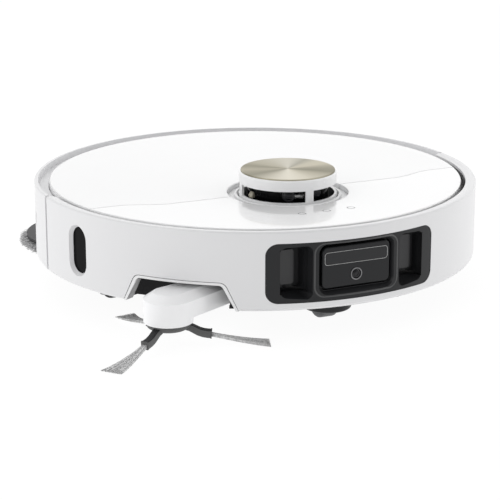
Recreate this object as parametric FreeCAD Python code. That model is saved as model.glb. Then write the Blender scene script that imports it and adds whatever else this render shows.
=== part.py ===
import FreeCAD, Part
import math
import os

# A round floor-cleaning robot: a disc-shaped body with a pressable front bumper,
# a pressable laser turret, a swing-out side brush and a swing-out mop.
# Millimetres. Z is up from the floor, -Y is forward, -X is the robot's right.

V = FreeCAD.Vector
UP = V(0, 0, 1)
X_AXIS = V(1, 0, 0)
Y_AXIS = V(0, 1, 0)

# ---- driving dimensions -------------------------------------------------
BODY_R = 175.0            # outside radius of the skirt
SKIRT_WALL = 3.0
SKIRT_BOTTOM = 24.5
RIM_TOP = 83.4
COVER_R = 163.4           # round top cover: front panel and rear lid
COVER_BOTTOM = 79.4
COVER_TOP = 82.6
DECK_BOTTOM = 76.4
BUMPER_TRAVEL = 3.0
BUMPER_GAP = 3.4          # open seam between bumper and rear shell
BUMPER_RING_R = 167.0     # inside radius of the bumper's top ring

FLOOR_Z = 14.0            # underside of the front floor
FLOOR_T = 2.5
REAR_FLOOR_Z = 26.0       # the rear floor is raised to clear the mops
STEP_Y = 24.0             # where the floor steps up
WALL_R = 165.0            # outside radius of the chassis wall
WALL_T = 3.0

TURRET_X, TURRET_Y = 0.0, -59.0
TURRET_R = 37.7
TURRET_WALL = 1.8
TURRET_HOLE_R = 46.6
TURRET_TOP = 99.4
WINDOW_LOW = 82.4
WINDOW_HIGH = 91.2
DISC_R = 36.2
DISC_TOP = 100.4

BUTTON_X = (-20.3, 0.0, 20.3)
BUTTON_Y = -124.0
BUTTON_R = 2.85
BUTTON_HOLE_R = 3.2

SEAM_OUTER_Y = -45.4      # seam between front panel and rear lid
SEAM_INNER_Y = -56.4
SEAM_JOG_OUT = 127.0
SEAM_JOG_IN = 104.0
SEAM_GAP = 0.8

BAY_HALF = 68.0           # front sensor bay
BAY_LOW = 30.0
BAY_HIGH = 74.6
BAY_BACK = -151.0
PANEL_HALF = 27.5
PANEL_LOW = 38.4
PANEL_HIGH = 69.4
LENS_Z = 47.2
RIM_HALF = 34.0

ARM_CUT_ANGLE = 226.3     # centre of the opening for the side-brush arm
ARM_CUT_LOW_HALF = 44.1
ARM_CUT_TOP_HALF = 34.2
ARM_CUT_TOP = 45.2
LIP = 1.8

ARM_PIVOT = (-76.0, -110.0)
BRUSH_HUB = (-130.6, -132.3)
HUB_R = 18.0
ARM_END_R = 13.0
ARM_TOP = 40.0
ARM_SHOULDER = 35.0
HUB_BOTTOM = 18.0
ARM_BOTTOM = 22.5
BAY_ROOF = 46.5

BRISTLE_TIP_R = 74.0
SLEEVE_END_R = 31.0
BLADE_ANGLES = (214.5, 334.5, 94.5)

SLOT_ANGLE = 195.9        # side distance sensor window
SLOT_LOW = 34.8
SLOT_HIGH = 70.2
SLOT_HALF = 9.0

WHEEL_X = 121.0
WHEEL_Y = -6.0
WHEEL_R = 35.0
WHEEL_W = 22.0
TYRE_IN_R = 29.0
SUSP_PIVOT_Y = -46.0
SUSP_PIVOT_Z = 40.0

CASTER_Y = -126.0
CASTER_TRAIL = 5.0
CASTER_R = 13.0
CASTER_W = 15.0

BRUSH_Y = -62.0
BRUSH_Z = 20.5
BRUSH_R = 19.5
BRUSH_HALF = 75.0

BIN_X = 57.0
BIN_Y0, BIN_Y1 = 8.0, 88.0
BIN_Z0, BIN_Z1 = 28.5, 70.0
HANDLE_TOP = 78.6
BIN_WALL = 2.0

FAN_Y = 121.0
FAN_R = 25.0

MOP_R = 61.0
PAD_T = 7.0
PLATE_TOP = 9.5
MOP_ARM_Z0, MOP_ARM_Z1 = 10.0, 17.0
MOP_LEFT = (64.0, 92.0)
MOP_RIGHT = (-84.0, 148.0)
MOP_PIVOT = (-42.0, 131.4)
MOP_SHAFT_R = 6.0

CLEAR = 0.05              # radial clearance of running fits


# ---- helpers --------------------------------------------------------------
def box(x0, x1, y0, y1, z0, z1):
    return Part.makeBox(x1 - x0, y1 - y0, z1 - z0, V(x0, y0, z0))


def cyl(x, y, z0, z1, r):
    return Part.makeCylinder(r, z1 - z0, V(x, y, z0), UP)


def tube(x, y, z0, z1, outer, inner):
    return cyl(x, y, z0, z1, outer).cut(cyl(x, y, z0 - 1, z1 + 1, inner))


def xcyl(x0, x1, y, z, r):
    return Part.makeCylinder(r, x1 - x0, V(x0, y, z), X_AXIS)


def ycyl(x, y0, y1, z, r):
    return Part.makeCylinder(r, y1 - y0, V(x, y0, z), Y_AXIS)


def fuse(shapes):
    out = shapes[0]
    for s in shapes[1:]:
        out = out.fuse(s)
    return out.removeSplitter()


def cut(shape, tools):
    for t in tools:
        shape = shape.cut(t)
    return shape


def revolve(points):
    """A ring about the Z axis from a closed outline of (radius, height) points."""
    wire = Part.makePolygon([V(r, 0, z) for r, z in points + [points[0]]])
    return Part.Face(wire).revolve(V(0, 0, 0), UP, 360)


def prism(points, z0, z1):
    """A plan outline extruded upwards."""
    wire = Part.makePolygon([V(x, y, z0) for x, y in points + [points[0]]])
    return Part.Face(wire).extrude(V(0, 0, z1 - z0))


def polar(angle, r):
    a = math.radians(angle)
    return (r * math.cos(a), r * math.sin(a))


def sector(a0, a1, r, z0, z1):
    """A wedge of the given angles, wide enough to reach the radius r."""
    steps = max(2, int(abs(a1 - a0) / 20) + 1)
    pts = [(0.0, 0.0)]
    reach = r / math.cos(math.radians(abs(a1 - a0) / steps / 2))
    for i in range(steps + 1):
        pts.append(polar(a0 + (a1 - a0) * i / steps, reach))
    return prism(pts, z0, z1)


def capsule(c1, r1, c2, r2, z0, z1):
    """Two round ends joined by their outer tangent lines."""
    dx, dy = c2[0] - c1[0], c2[1] - c1[1]
    length = math.hypot(dx, dy)
    base = math.atan2(dy, dx)
    lean = math.acos((r1 - r2) / length)
    pts = []
    for sign in (1, -1):
        a = base + sign * lean
        near = (c1[0] + r1 * math.cos(a), c1[1] + r1 * math.sin(a))
        far = (c2[0] + r2 * math.cos(a), c2[1] + r2 * math.sin(a))
        pts.append((near, far))
    plan = [pts[0][0], pts[0][1], pts[1][1], pts[1][0]]
    web = prism(plan, z0, z1)
    return fuse([web, cyl(c1[0], c1[1], z0, z1, r1), cyl(c2[0], c2[1], z0, z1, r2)])


def rounded_wire(x0, x1, z0, z1, r, y):
    """A rounded rectangle standing in the plane at y."""
    k = r * (1 - math.sqrt(0.5))
    edges = []
    edges.append(Part.makeLine(V(x0 + r, y, z0), V(x1 - r, y, z0)))
    edges.append(Part.Arc(V(x1 - r, y, z0), V(x1 - k, y, z0 + k), V(x1, y, z0 + r)).toShape())
    edges.append(Part.makeLine(V(x1, y, z0 + r), V(x1, y, z1 - r)))
    edges.append(Part.Arc(V(x1, y, z1 - r), V(x1 - k, y, z1 - k), V(x1 - r, y, z1)).toShape())
    edges.append(Part.makeLine(V(x1 - r, y, z1), V(x0 + r, y, z1)))
    edges.append(Part.Arc(V(x0 + r, y, z1), V(x0 + k, y, z1 - k), V(x0, y, z1 - r)).toShape())
    edges.append(Part.makeLine(V(x0, y, z1 - r), V(x0, y, z0 + r)))
    edges.append(Part.Arc(V(x0, y, z0 + r), V(x0 + k, y, z0 + k), V(x0 + r, y, z0)).toShape())
    return Part.Wire(edges)


def rounded_bar(x0, x1, z0, z1, r, y0, y1):
    """A rounded rectangle extruded along Y."""
    face = Part.Face(rounded_wire(x0, x1, z0, z1, r, y0))
    return face.extrude(V(0, y1 - y0, 0))


def taper_bar(x0, x1, z0, z1, r, y0, y1, grow):
    """A rounded bar along Y that is wider by grow on every side at y0."""
    wide = rounded_wire(x0 - grow, x1 + grow, z0 - grow, z1 + grow, r + grow, y0)
    narrow = rounded_wire(x0, x1, z0, z1, r, y1)
    return Part.makeLoft([wide, narrow], True, True)


def aim(shape, angle):
    """Turn a shape built facing -Y so that it faces the given polar angle."""
    shape.rotate(V(0, 0, 0), UP, angle - 270.0)
    return shape


def round_edges(shape, radius, pick):
    """Fillet the edges that pick accepts; the shape stays sharp if that fails."""
    edges = [e for e in shape.Edges if pick(e)]
    if not edges:
        return shape
    return shape.makeFillet(radius, edges)


def circle_at(r, z):
    """True for the round edges of radius r at height z."""
    def test(edge):
        curve = edge.Curve
        if not hasattr(curve, "Radius"):
            return False
        at = edge.BoundBox
        return abs(curve.Radius - r) < 0.02 and abs(at.ZMin - z) < 0.02 and at.ZLength < 0.02
    return test


def save(node, shape):
    shape.exportStep("parts/" + node + ".step")


# ---- skirt: front bumper and rear shell ------------------------------------
FRONT_HALF = box(-200, 200, -200, 0.0, 0, 120)
REAR_PART = box(-200, 200, BUMPER_GAP, 200, 0, 120)


def arm_opening(grow, y0, y1):
    """The sloping-sided opening for the side-brush arm, built facing -Y."""
    low = ARM_CUT_LOW_HALF + grow
    top = ARM_CUT_TOP_HALF + grow
    z1 = ARM_CUT_TOP + grow
    slope = (low - top) / (z1 - SKIRT_BOTTOM)
    low = low + slope * 3.0
    pts = [(-low, SKIRT_BOTTOM - 3), (low, SKIRT_BOTTOM - 3), (top, z1), (-top, z1)]
    wire = Part.makePolygon([V(x, y0, z) for x, z in pts + [pts[0]]])
    solid = Part.Face(wire).extrude(V(0, y1 - y0, 0))
    corners = []
    for e in solid.Edges:
        at = e.BoundBox
        if at.YLength > 1 and at.ZMin > z1 - 0.01:
            corners.append(e)
    return solid.makeFillet(6.0 + grow, corners)


def slot_tool(grow, y0, y1, narrow_grow=None):
    """The upright stadium of the side window, built facing -Y."""
    if narrow_grow is None:
        return rounded_bar(
            -SLOT_HALF - grow, SLOT_HALF + grow,
            SLOT_LOW - grow, SLOT_HIGH + grow, SLOT_HALF + grow - 0.01, y0, y1)
    out = rounded_wire(
        -SLOT_HALF - grow, SLOT_HALF + grow,
        SLOT_LOW - grow, SLOT_HIGH + grow, SLOT_HALF + grow - 0.01, y0)
    inner = rounded_wire(
        -SLOT_HALF - narrow_grow, SLOT_HALF + narrow_grow,
        SLOT_LOW - narrow_grow, SLOT_HIGH + narrow_grow,
        SLOT_HALF + narrow_grow - 0.01, y1)
    return Part.makeLoft([out, inner], True, True)


def bumper_skirt():
    ring = revolve([
        (BODY_R - SKIRT_WALL, SKIRT_BOTTOM), (BODY_R, SKIRT_BOTTOM),
        (BODY_R, RIM_TOP), (BODY_R - 4.0, RIM_TOP), (BUMPER_RING_R, RIM_TOP - 1.0),
        (BUMPER_RING_R, RIM_TOP - 3.4), (BODY_R - SKIRT_WALL, RIM_TOP - 3.4)])
    ring = round_edges(ring, 1.6, circle_at(BODY_R, RIM_TOP))
    ring = round_edges(ring, 2.0, circle_at(BODY_R, SKIRT_BOTTOM))
    ring = ring.common(FRONT_HALF)
    bay = rounded_bar(-BAY_HALF, BAY_HALF, BAY_LOW, BAY_HIGH, 9.0, -180, -140)
    arm = aim(arm_opening(0.5, -180, -140), ARM_CUT_ANGLE)
    slot = aim(slot_tool(0.0, -180, -150), SLOT_ANGLE)
    bevel = aim(slot_tool(2.6, -176.0, -171.8, -0.1), SLOT_ANGLE)
    return cut(ring, [bay, arm, slot, bevel])


def arm_bay_trim():
    lip = arm_opening(0.0, -180, -140).cut(arm_opening(-LIP, -181, -139))
    ring = tube(0, 0, SKIRT_BOTTOM, 60, BODY_R, WALL_R + 3.5)
    lip = aim(lip, ARM_CUT_ANGLE).common(ring)
    flange = arm_opening(4.0, -180, -140).cut(arm_opening(-LIP, -181, -139))
    band = tube(0, 0, SKIRT_BOTTOM, 60, BODY_R - SKIRT_WALL, BODY_R - SKIRT_WALL - 2.0)
    flange = aim(flange, ARM_CUT_ANGLE).common(band)
    return fuse([lip, flange]).common(box(-200, 200, -200, -1, 0, 100))


def side_window():
    body = aim(slot_tool(0.0, -171.4, -167.0), SLOT_ANGLE)
    back = aim(slot_tool(3.0, -168.5, -166.5), SLOT_ANGLE)
    keep = cyl(0, 0, 0, 100, BODY_R - SKIRT_WALL)
    return fuse([body.common(cyl(0, 0, 0, 100, BODY_R - 1.2)), back.common(keep)])


def vent_slots():
    tools = []
    for i in range(4):
        bar = box(-1.1, 1.1, -180, -160, 48.0, 62.0)
        bar.rotate(V(0, -170, 55), Y_AXIS, 24)
        tools.append(aim(bar, 163.0 - 2.6 * (i - 1.5)))
    for i in range(9):
        bar = rounded_bar(-1.3, 1.3, 40.0, 62.0, 1.25, -180, -160)
        tools.append(aim(bar, 40.0 + 2.4 * i))
    return tools


PORT_X, PORT_Z = -52.0, 50.0
PORT_R, PORT_BORE = 7.0, 4.0
DOCK_HALF = 38.0


def rear_shell():
    ring = revolve([
        (BODY_R - SKIRT_WALL, SKIRT_BOTTOM), (BODY_R, SKIRT_BOTTOM),
        (BODY_R, RIM_TOP), (BODY_R - SKIRT_WALL, RIM_TOP),
        (BODY_R - SKIRT_WALL, DECK_BOTTOM + 1.8), (COVER_R + 0.5, DECK_BOTTOM + 1.8),
        (COVER_R + 0.5, DECK_BOTTOM), (BODY_R - SKIRT_WALL, DECK_BOTTOM)])
    ring = round_edges(ring, 1.3, circle_at(BODY_R, RIM_TOP))
    ring = round_edges(ring, 2.0, circle_at(BODY_R, SKIRT_BOTTOM))
    ring = ring.common(REAR_PART)
    foot = tube(0, 0, REAR_FLOOR_Z, REAR_FLOOR_Z + 2.5, BODY_R - SKIRT_WALL, WALL_R)
    ring = fuse([ring, foot.common(REAR_PART)])
    tongue = tube(0, 0, SKIRT_BOTTOM + 1, RIM_TOP - 4, 171.2, 168.6)
    tongue = tongue.common(box(-200, 200, -7.0, BUMPER_GAP + 4, 0, 120))
    link = tube(0, 0, SKIRT_BOTTOM + 1, RIM_TOP - 4, BODY_R - SKIRT_WALL + 0.5, 171.0)
    link = link.common(box(-200, 200, BUMPER_GAP, BUMPER_GAP + 4, 0, 120))
    ring = fuse([ring, tongue, link])
    pad = box(-DOCK_HALF - 2, DOCK_HALF + 2, 166.0, 174.0, 31.0, 55.0)
    pad = pad.common(cyl(0, 0, 0, 100, BODY_R - 0.5))
    ring = fuse([ring, pad])
    dock = rounded_bar(-DOCK_HALF, DOCK_HALF, 33.0, 53.0, 4.0, 170.0, 190.0)
    port = ycyl(PORT_X, 140, 190, PORT_Z, PORT_R)
    return cut(ring, [dock, port] + vent_slots())


def dock_contacts():
    plates = []
    for side in (-1, 1):
        x = 20.0 * side
        plates.append(box(x - 9, x + 9, 170.0, 171.6, 38.0, 48.0))
    return Part.makeCompound(plates)


def water_inlet():
    pipe = ycyl(PORT_X, 150.0, 166.5, PORT_Z, PORT_R - 0.4)
    bore = ycyl(PORT_X, 152.0, 190.0, PORT_Z, PORT_BORE)
    down = box(PORT_X - 6, PORT_X + 6, 144.0, 150.0, 44.0, 56.0)
    return fuse([pipe.cut(bore), down])


# ---- front sensor bay (rides the bumper) ---------------------------------------
def pocket(side):
    """A hollow beside the camera: a wide mouth, a sloping floor and a hollow back."""
    inner, outer = side * (RIM_HALF + 1.4), side * 58.6
    lo, hi = sorted((inner, outer))
    front = rounded_wire(lo - 1.2, hi + 1.6, BAY_LOW - 0.4, BAY_HIGH - 1.2, 5.0, -178.0)
    back = rounded_wire(lo + 2.6, hi - 2.6, BAY_LOW + 8.5, BAY_HIGH - 5.6, 4.0, -153.6)
    mouth = Part.makeLoft([front, back], True, True)
    scoop = cyl((lo + hi) / 2, -164.0, BAY_LOW + 6.5, BAY_HIGH - 5.0, 11.0)
    return mouth.fuse(scoop)


def sensor_bay():
    face = cyl(0, 0, BAY_LOW, BAY_HIGH, BODY_R - 0.3)
    block = rounded_bar(-BAY_HALF, BAY_HALF, BAY_LOW, BAY_HIGH, 9.0, -180, BAY_BACK)
    block = block.common(face)
    gap = rounded_bar(
        -PANEL_HALF - 1.4, PANEL_HALF + 1.4, PANEL_LOW - 1.4, PANEL_HIGH + 1.2,
        5.0, -180, -166.0)
    flare = taper_bar(
        -PANEL_HALF - 1.4, PANEL_HALF + 1.4, PANEL_LOW - 1.8, PANEL_HIGH + 0.8,
        5.0, -175.6, -169.0, 3.6)
    return cut(block, [pocket(-1), pocket(1), gap, flare])


def camera_panel():
    plate = rounded_bar(
        -PANEL_HALF, PANEL_HALF, PANEL_LOW, PANEL_HIGH, 4.0, -171.2, -166.0)
    front = [e for e in plate.Edges if e.BoundBox.YMax < -171.1]
    plate = plate.makeFillet(1.2, front)
    lens = ycyl(0, -180, -168.0, LENS_Z, 4.7)
    bar = rounded_bar(-25.4, 25.4, 56.0, 65.2, 2.2, -180, -170.2)
    return cut(plate, [lens, bar])


def light_bar():
    return rounded_bar(-25.3, 25.3, 56.1, 65.1, 2.1, -171.1, -170.2)


def camera_ring():
    return ycyl(0, -171.7, -168.0, LENS_Z, 4.6).cut(ycyl(0, -173, -167, LENS_Z, 3.8))


def camera_lens():
    dome = Part.makeSphere(7.0, V(0, -164.9, LENS_Z))
    barrel = ycyl(0, -180, -168.0, LENS_Z, 3.75)
    return barrel.common(dome)


def laser_windows():
    out = []
    for side in (-1, 1):
        lo, hi = sorted((side * 42.6, side * 53.4))
        out.append(rounded_bar(lo, hi, BAY_LOW + 11.0, BAY_HIGH - 8.0, 2.0, -155.4, -153.6))
    return Part.makeCompound(out)


# ---- top: deck, front panel, lid, turret --------------------------------------
def seam_plan(offset):
    """The seam's centre line shifted along Y, from left to right."""
    pts = []
    for x, y in (
            (-190, SEAM_OUTER_Y), (-SEAM_JOG_OUT - 6, SEAM_OUTER_Y),
            (-SEAM_JOG_OUT + 2, SEAM_OUTER_Y - 1.6), (-SEAM_JOG_IN - 2, SEAM_INNER_Y + 1.6),
            (-SEAM_JOG_IN + 6, SEAM_INNER_Y), (SEAM_JOG_IN - 6, SEAM_INNER_Y),
            (SEAM_JOG_IN + 2, SEAM_INNER_Y + 1.6), (SEAM_JOG_OUT - 2, SEAM_OUTER_Y - 1.6),
            (SEAM_JOG_OUT + 6, SEAM_OUTER_Y), (190, SEAM_OUTER_Y)):
        pts.append((x, y + offset))
    return pts


def cover():
    disc = cyl(0, 0, COVER_BOTTOM, COVER_TOP, COVER_R)
    disc = round_edges(disc, 1.0, circle_at(COVER_R, COVER_TOP))
    hole = cyl(TURRET_X, TURRET_Y, 70, 100, TURRET_HOLE_R)
    disc = disc.cut(hole)
    return round_edges(disc, 0.8, circle_at(TURRET_HOLE_R, COVER_TOP))


def front_panel():
    keep = prism(seam_plan(-SEAM_GAP / 2) + [(190, -200), (-190, -200)], 70, 100)
    panel = cover().common(keep)
    holes = [cyl(x, BUTTON_Y, 70, 100, BUTTON_HOLE_R) for x in BUTTON_X]
    return cut(panel, holes)


def rear_lid():
    keep = prism(seam_plan(SEAM_GAP / 2) + [(190, 200), (-190, 200)], 70, 100)
    return cover().common(keep)


def deck():
    """The frame that carries the panel and lid, open over the dust bin."""
    plate = cyl(0, 0, DECK_BOTTOM, COVER_BOTTOM, COVER_R)
    tools = [cyl(TURRET_X, TURRET_Y, 70, 90, TURRET_HOLE_R - 0.2)]
    tools.append(box(-BIN_X - 1.5, BIN_X + 1.5, BIN_Y0 - 1.5, BIN_Y1 + 1.5, 70, 90))
    for x in BUTTON_X:
        tools.append(cyl(x, BUTTON_Y, 70, 90, BUTTON_HOLE_R + 1.6))
    plate = cut(plate, tools)
    rib = tube(0, 0, DECK_BOTTOM - 3, DECK_BOTTOM, WALL_R - WALL_T - 0.0, WALL_R - WALL_T - 2.5)
    rib = rib.common(box(-200, 200, 20, 200, 0, 100))
    return fuse([plate, rib])


def turret_well():
    ring = tube(TURRET_X, TURRET_Y, DECK_BOTTOM - 1.5, DECK_BOTTOM, 52.0, 38.7)
    dish = tube(TURRET_X, TURRET_Y, DECK_BOTTOM, 79.0, 46.2, 38.7)
    lip = tube(TURRET_X, TURRET_Y, 79.0, 81.4, 41.4, 39.4)
    lip = round_edges(lip, 0.8, circle_at(41.4, 81.4))
    return fuse([ring, dish, lip])


def turret_cap():
    body = cyl(TURRET_X, TURRET_Y, 74.0, TURRET_TOP, TURRET_R)
    body = round_edges(body, 1.2, circle_at(TURRET_R, TURRET_TOP))
    inner = cyl(TURRET_X, TURRET_Y, 70, TURRET_TOP - 2.6, TURRET_R - TURRET_WALL)
    seat = cyl(TURRET_X, TURRET_Y, TURRET_TOP - 1.0, 120, DISC_R + 0.05)
    body = cut(body, [inner, seat])
    for a0, a1 in ((176.0, 265.2), (274.8, 364.0), (14.0, 85.2), (94.8, 166.0)):
        mid = (a0 + a1) / 2
        wedge = sector(a0 - mid, a1 - mid, 60, WINDOW_LOW, WINDOW_HIGH)
        wedge.rotate(V(0, 0, 0), UP, mid)
        wedge.translate(V(TURRET_X, TURRET_Y, 0))
        ring = tube(TURRET_X, TURRET_Y, WINDOW_LOW, WINDOW_HIGH, TURRET_R + 1, 30)
        body = body.cut(wedge.common(ring))
    return body


def turret_disc():
    disc = cyl(TURRET_X, TURRET_Y, TURRET_TOP - 1.0, DISC_TOP, DISC_R)
    return round_edges(disc, 0.5, circle_at(DISC_R, DISC_TOP))


def lidar_base():
    plate = cyl(TURRET_X, TURRET_Y, 62.0, 69.0, 40.0)
    spindle = cyl(TURRET_X, TURRET_Y, 69.0, 80.0, 5.0)
    motor = cyl(TURRET_X, TURRET_Y + 30, 48.0, 62.0, 9.0)
    flange = tube(TURRET_X, TURRET_Y, 69.0, DECK_BOTTOM - 1.5, 52.0, 48.0)
    skirt = tube(TURRET_X, TURRET_Y, 65.0, 69.0, 52.0, 39.5)
    return fuse([plate, spindle, motor, skirt, flange])


def lidar_rotor():
    drum = cyl(TURRET_X, TURRET_Y, 70.2, 94.4, 31.0)
    bore = cyl(TURRET_X, TURRET_Y, 60.0, 81.0, 5.0 + CLEAR)
    flat = box(-40, 40, TURRET_Y - 50, TURRET_Y - 26.0, 80.5, 93.0)
    return cut(drum, [bore, flat])


def lidar_lens():
    out = []
    for x, r in ((-11.0, 5.2), (10.0, 4.2)):
        out.append(ycyl(x, TURRET_Y - 28.0, TURRET_Y - 26.0, 86.8, r))
    return Part.makeCompound(out)


def button(x):
    stem = cyl(x, BUTTON_Y, DECK_BOTTOM - 0.5, COVER_TOP, BUTTON_R)
    stem = round_edges(stem, 0.35, circle_at(BUTTON_R, COVER_TOP))
    collar = cyl(x, BUTTON_Y, DECK_BOTTOM + 0.8, COVER_BOTTOM - 0.2, BUTTON_HOLE_R + 1.0)
    return fuse([stem, collar])


# ---- chassis ---------------------------------------------------------------------
def arm_bay_plan(grow, z0, z1):
    """Everything the side-brush arm passes through, with some room."""
    parts = []
    reach = math.hypot(BRUSH_HUB[0] - ARM_PIVOT[0], BRUSH_HUB[1] - ARM_PIVOT[1])
    start = math.degrees(
        math.atan2(BRUSH_HUB[1] - ARM_PIVOT[1], BRUSH_HUB[0] - ARM_PIVOT[0])) % 360
    for i in range(8):
        a = math.radians(start + 14 - (50.0 + 14) * i / 7)
        hub = (ARM_PIVOT[0] + reach * math.cos(a), ARM_PIVOT[1] + reach * math.sin(a))
        parts.append(capsule(hub, HUB_R + grow, ARM_PIVOT, ARM_END_R + grow, z0, z1))
    return fuse(parts)


def wheel_well(side, grow, z0, z1):
    lo, hi = sorted((side * (92.0 - grow), side * (136.0 + grow)))
    return box(lo, hi, SUSP_PIVOT_Y - 6.0 - grow, 33.5 + grow, z0, z1)


def underside_envelope():
    """Everything above the chassis's flat and then rising underside."""
    return revolve([
        (0, FLOOR_Z), (128, FLOOR_Z), (WALL_R + 2.5, 24.0), (WALL_R + 2.5, 95.0), (0, 95.0)])


def shaft_holes():
    tools = [cyl(MOP_LEFT[0], MOP_LEFT[1], 5, 40, MOP_SHAFT_R + 2.0)]
    tools.append(cyl(MOP_PIVOT[0], MOP_PIVOT[1], 5, 40, MOP_SHAFT_R + 2.0))
    return tools


def chassis_base():
    """The front floor with its rising edge, and the caster's socket."""
    floor = revolve([
        (0, FLOOR_Z), (128, FLOOR_Z), (WALL_R + 2.5, 24.0), (WALL_R + 2.5, 26.0),
        (WALL_R - WALL_T, 26.0), (126.5, FLOOR_Z + FLOOR_T), (0, FLOOR_Z + FLOOR_T)])
    floor = floor.common(box(-200, 200, -200, STEP_Y - 2.5, 0, 100))
    boss = cyl(0, CASTER_Y, FLOOR_Z, 42.0, 22.5).common(underside_envelope())
    body = fuse([floor, boss])
    tools = [arm_bay_plan(3.2, 5, BAY_ROOF)]
    tools += [wheel_well(s, 0.0, 5, 73.0) for s in (-1, 1)]
    tools.append(cyl(0, CASTER_Y, 5, 30.0, 20.5))
    tools.append(cyl(0, CASTER_Y, 5, 50.0, 4.0 + CLEAR))
    tools.append(box(-85, 85, BRUSH_Y - 24, BRUSH_Y + 24, 5, 45.0))
    tools.append(box(-30, 30, -160, BAY_BACK + BUMPER_TRAVEL + 0.6, 29.0, 60.0))
    tools.append(box(-90, -74, -170, -141, 20, 30))
    return cut(body, tools)


def rear_floor():
    """The raised floor over the mops and the step up to it."""
    rear = cyl(0, 0, REAR_FLOOR_Z, REAR_FLOOR_Z + FLOOR_T, WALL_R)
    rear = rear.common(box(-200, 200, STEP_Y - 2.5, 200, 0, 100))
    step = box(-170, 170, STEP_Y - 2.5, STEP_Y, FLOOR_Z, REAR_FLOOR_Z + FLOOR_T)
    step = step.common(cyl(0, 0, 0, 100, 160.0)).common(underside_envelope())
    body = fuse([rear, step])
    wells = [wheel_well(s, 2.0, 5, 76.0) for s in (-1, 1)]
    return cut(body, wells + shaft_holes())


def bay_shells():
    """Walls and roofs round the wheels and the swinging arm, and the arm's pivot."""
    out = []
    for s in (-1, 1):
        well = wheel_well(s, 2.0, FLOOR_Z, 75.0).cut(wheel_well(s, 0.0, 5, 73.0))
        well = well.common(underside_envelope())
        lo, hi = sorted((s * 86.0, s * 93.0))
        out.append(well.cut(xcyl(lo, hi, SUSP_PIVOT_Y, SUSP_PIVOT_Z, 3.0 + CLEAR)))
    arm = arm_bay_plan(5.4, FLOOR_Z, BAY_ROOF + 2.0).common(cyl(0, 0, 0, 100, WALL_R - 0.5))
    arm = arm.common(underside_envelope()).cut(arm_bay_plan(3.2, 5, BAY_ROOF))
    arm = arm.cut(box(-85, 85, BRUSH_Y - 24, BRUSH_Y + 24, 5, 45.0))
    x, y = ARM_PIVOT
    boss = cyl(x, y, ARM_TOP + 1.0, BAY_ROOF + 2, 9.0)
    pin = cyl(x, y, ARM_BOTTOM, BAY_ROOF + 2, 5.0)
    out.append(fuse([arm, boss, pin]))
    floor = chassis_base()
    return Part.makeCompound([s.cut(floor) for s in out])


def chassis_wall():
    """The upright wall that carries the deck, open where things pass through it."""
    wall = tube(0, 0, 26.0, DECK_BOTTOM, WALL_R, WALL_R - WALL_T)
    rear = tube(0, 0, 26.0, REAR_FLOOR_Z + FLOOR_T, WALL_R + 1, WALL_R - WALL_T - 1)
    rear = rear.common(box(-200, 200, STEP_Y - 2.5, 200, 0, 100))
    gaps = [rear, box(-76, 76, -200, -140, 20, 90)]
    gaps.append(aim(box(-50, 50, -200, -130, 20, 60), ARM_CUT_ANGLE))
    gaps.append(aim(box(-14, 14, -200, -150, 30, 90), SLOT_ANGLE))
    gaps.append(ycyl(PORT_X, 140, 190, PORT_Z, PORT_R + 1))
    gaps.append(arm_bay_plan(5.4, FLOOR_Z, BAY_ROOF + 2.0))
    return cut(wall, gaps)


def brush_housing():
    shell = box(-85, 85, BRUSH_Y - 24, BRUSH_Y + 24, FLOOR_Z, 45.0)
    cavity = xcyl(-81.0, 81.0, BRUSH_Y, BRUSH_Z, BRUSH_R + 2.2)
    mouth = box(-81, 81, BRUSH_Y - 20.5, BRUSH_Y + 20.5, 5, BRUSH_Z - 3)
    port = box(-28, 28, BRUSH_Y + 5, BRUSH_Y + 40, 30.5, 42.0)
    axle = xcyl(-83.5, 83.5, BRUSH_Y, BRUSH_Z, 3.0 + CLEAR)
    return cut(shell, [cavity, mouth, port, axle])


def suction_duct():
    y0, y1 = BRUSH_Y + 24, BIN_Y0 - 0.6
    return box(-30, 30, y0, y1, 28.5, 44.0).cut(box(-28, 28, y0 - 1, y1 + 1, 30.5, 42.0))


def brush_guard():
    frame = box(-84, 84, BRUSH_Y - 23.5, BRUSH_Y + 23.5, FLOOR_Z - 2.5, FLOOR_Z)
    window = box(-78, 78, BRUSH_Y - 21.2, BRUSH_Y + 21.2, 5, 20)
    return frame.cut(window)


def brush_gear_case():
    case = fuse([
        box(85.0, 89.5, BRUSH_Y - 16, BRUSH_Y + 8, FLOOR_Z + FLOOR_T, 44.0),
        box(62.0, 89.5, BRUSH_Y - 46, BRUSH_Y - 24.0, FLOOR_Z + FLOOR_T, 44.0),
        box(85.0, 89.5, BRUSH_Y - 24.0, BRUSH_Y - 16, FLOOR_Z + FLOOR_T, 44.0)])
    return case.common(cyl(0, 0, 0, 100, 125.0))


def main_brush_core():
    core = xcyl(-BRUSH_HALF, BRUSH_HALF, BRUSH_Y, BRUSH_Z, 11.0)
    axle = xcyl(-83.0, 83.0, BRUSH_Y, BRUSH_Z, 3.0)
    return fuse([core, axle])


def main_brush_fins():
    out = []
    for i in range(6):
        fin = box(-BRUSH_HALF, BRUSH_HALF, BRUSH_Y - 0.9, BRUSH_Y + 0.9,
                  BRUSH_Z + 11.0, BRUSH_Z + BRUSH_R)
        root = xcyl(-BRUSH_HALF, BRUSH_HALF, BRUSH_Y, BRUSH_Z, 11.0)
        fin = box(-BRUSH_HALF, BRUSH_HALF, BRUSH_Y - 0.9, BRUSH_Y + 0.9,
                  BRUSH_Z + 10.5, BRUSH_Z + BRUSH_R).cut(root)
        fin.rotate(V(0, BRUSH_Y, BRUSH_Z), X_AXIS, 60.0 * i + 30.0)
        out.append(fin)
    return Part.makeCompound(out)


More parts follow.
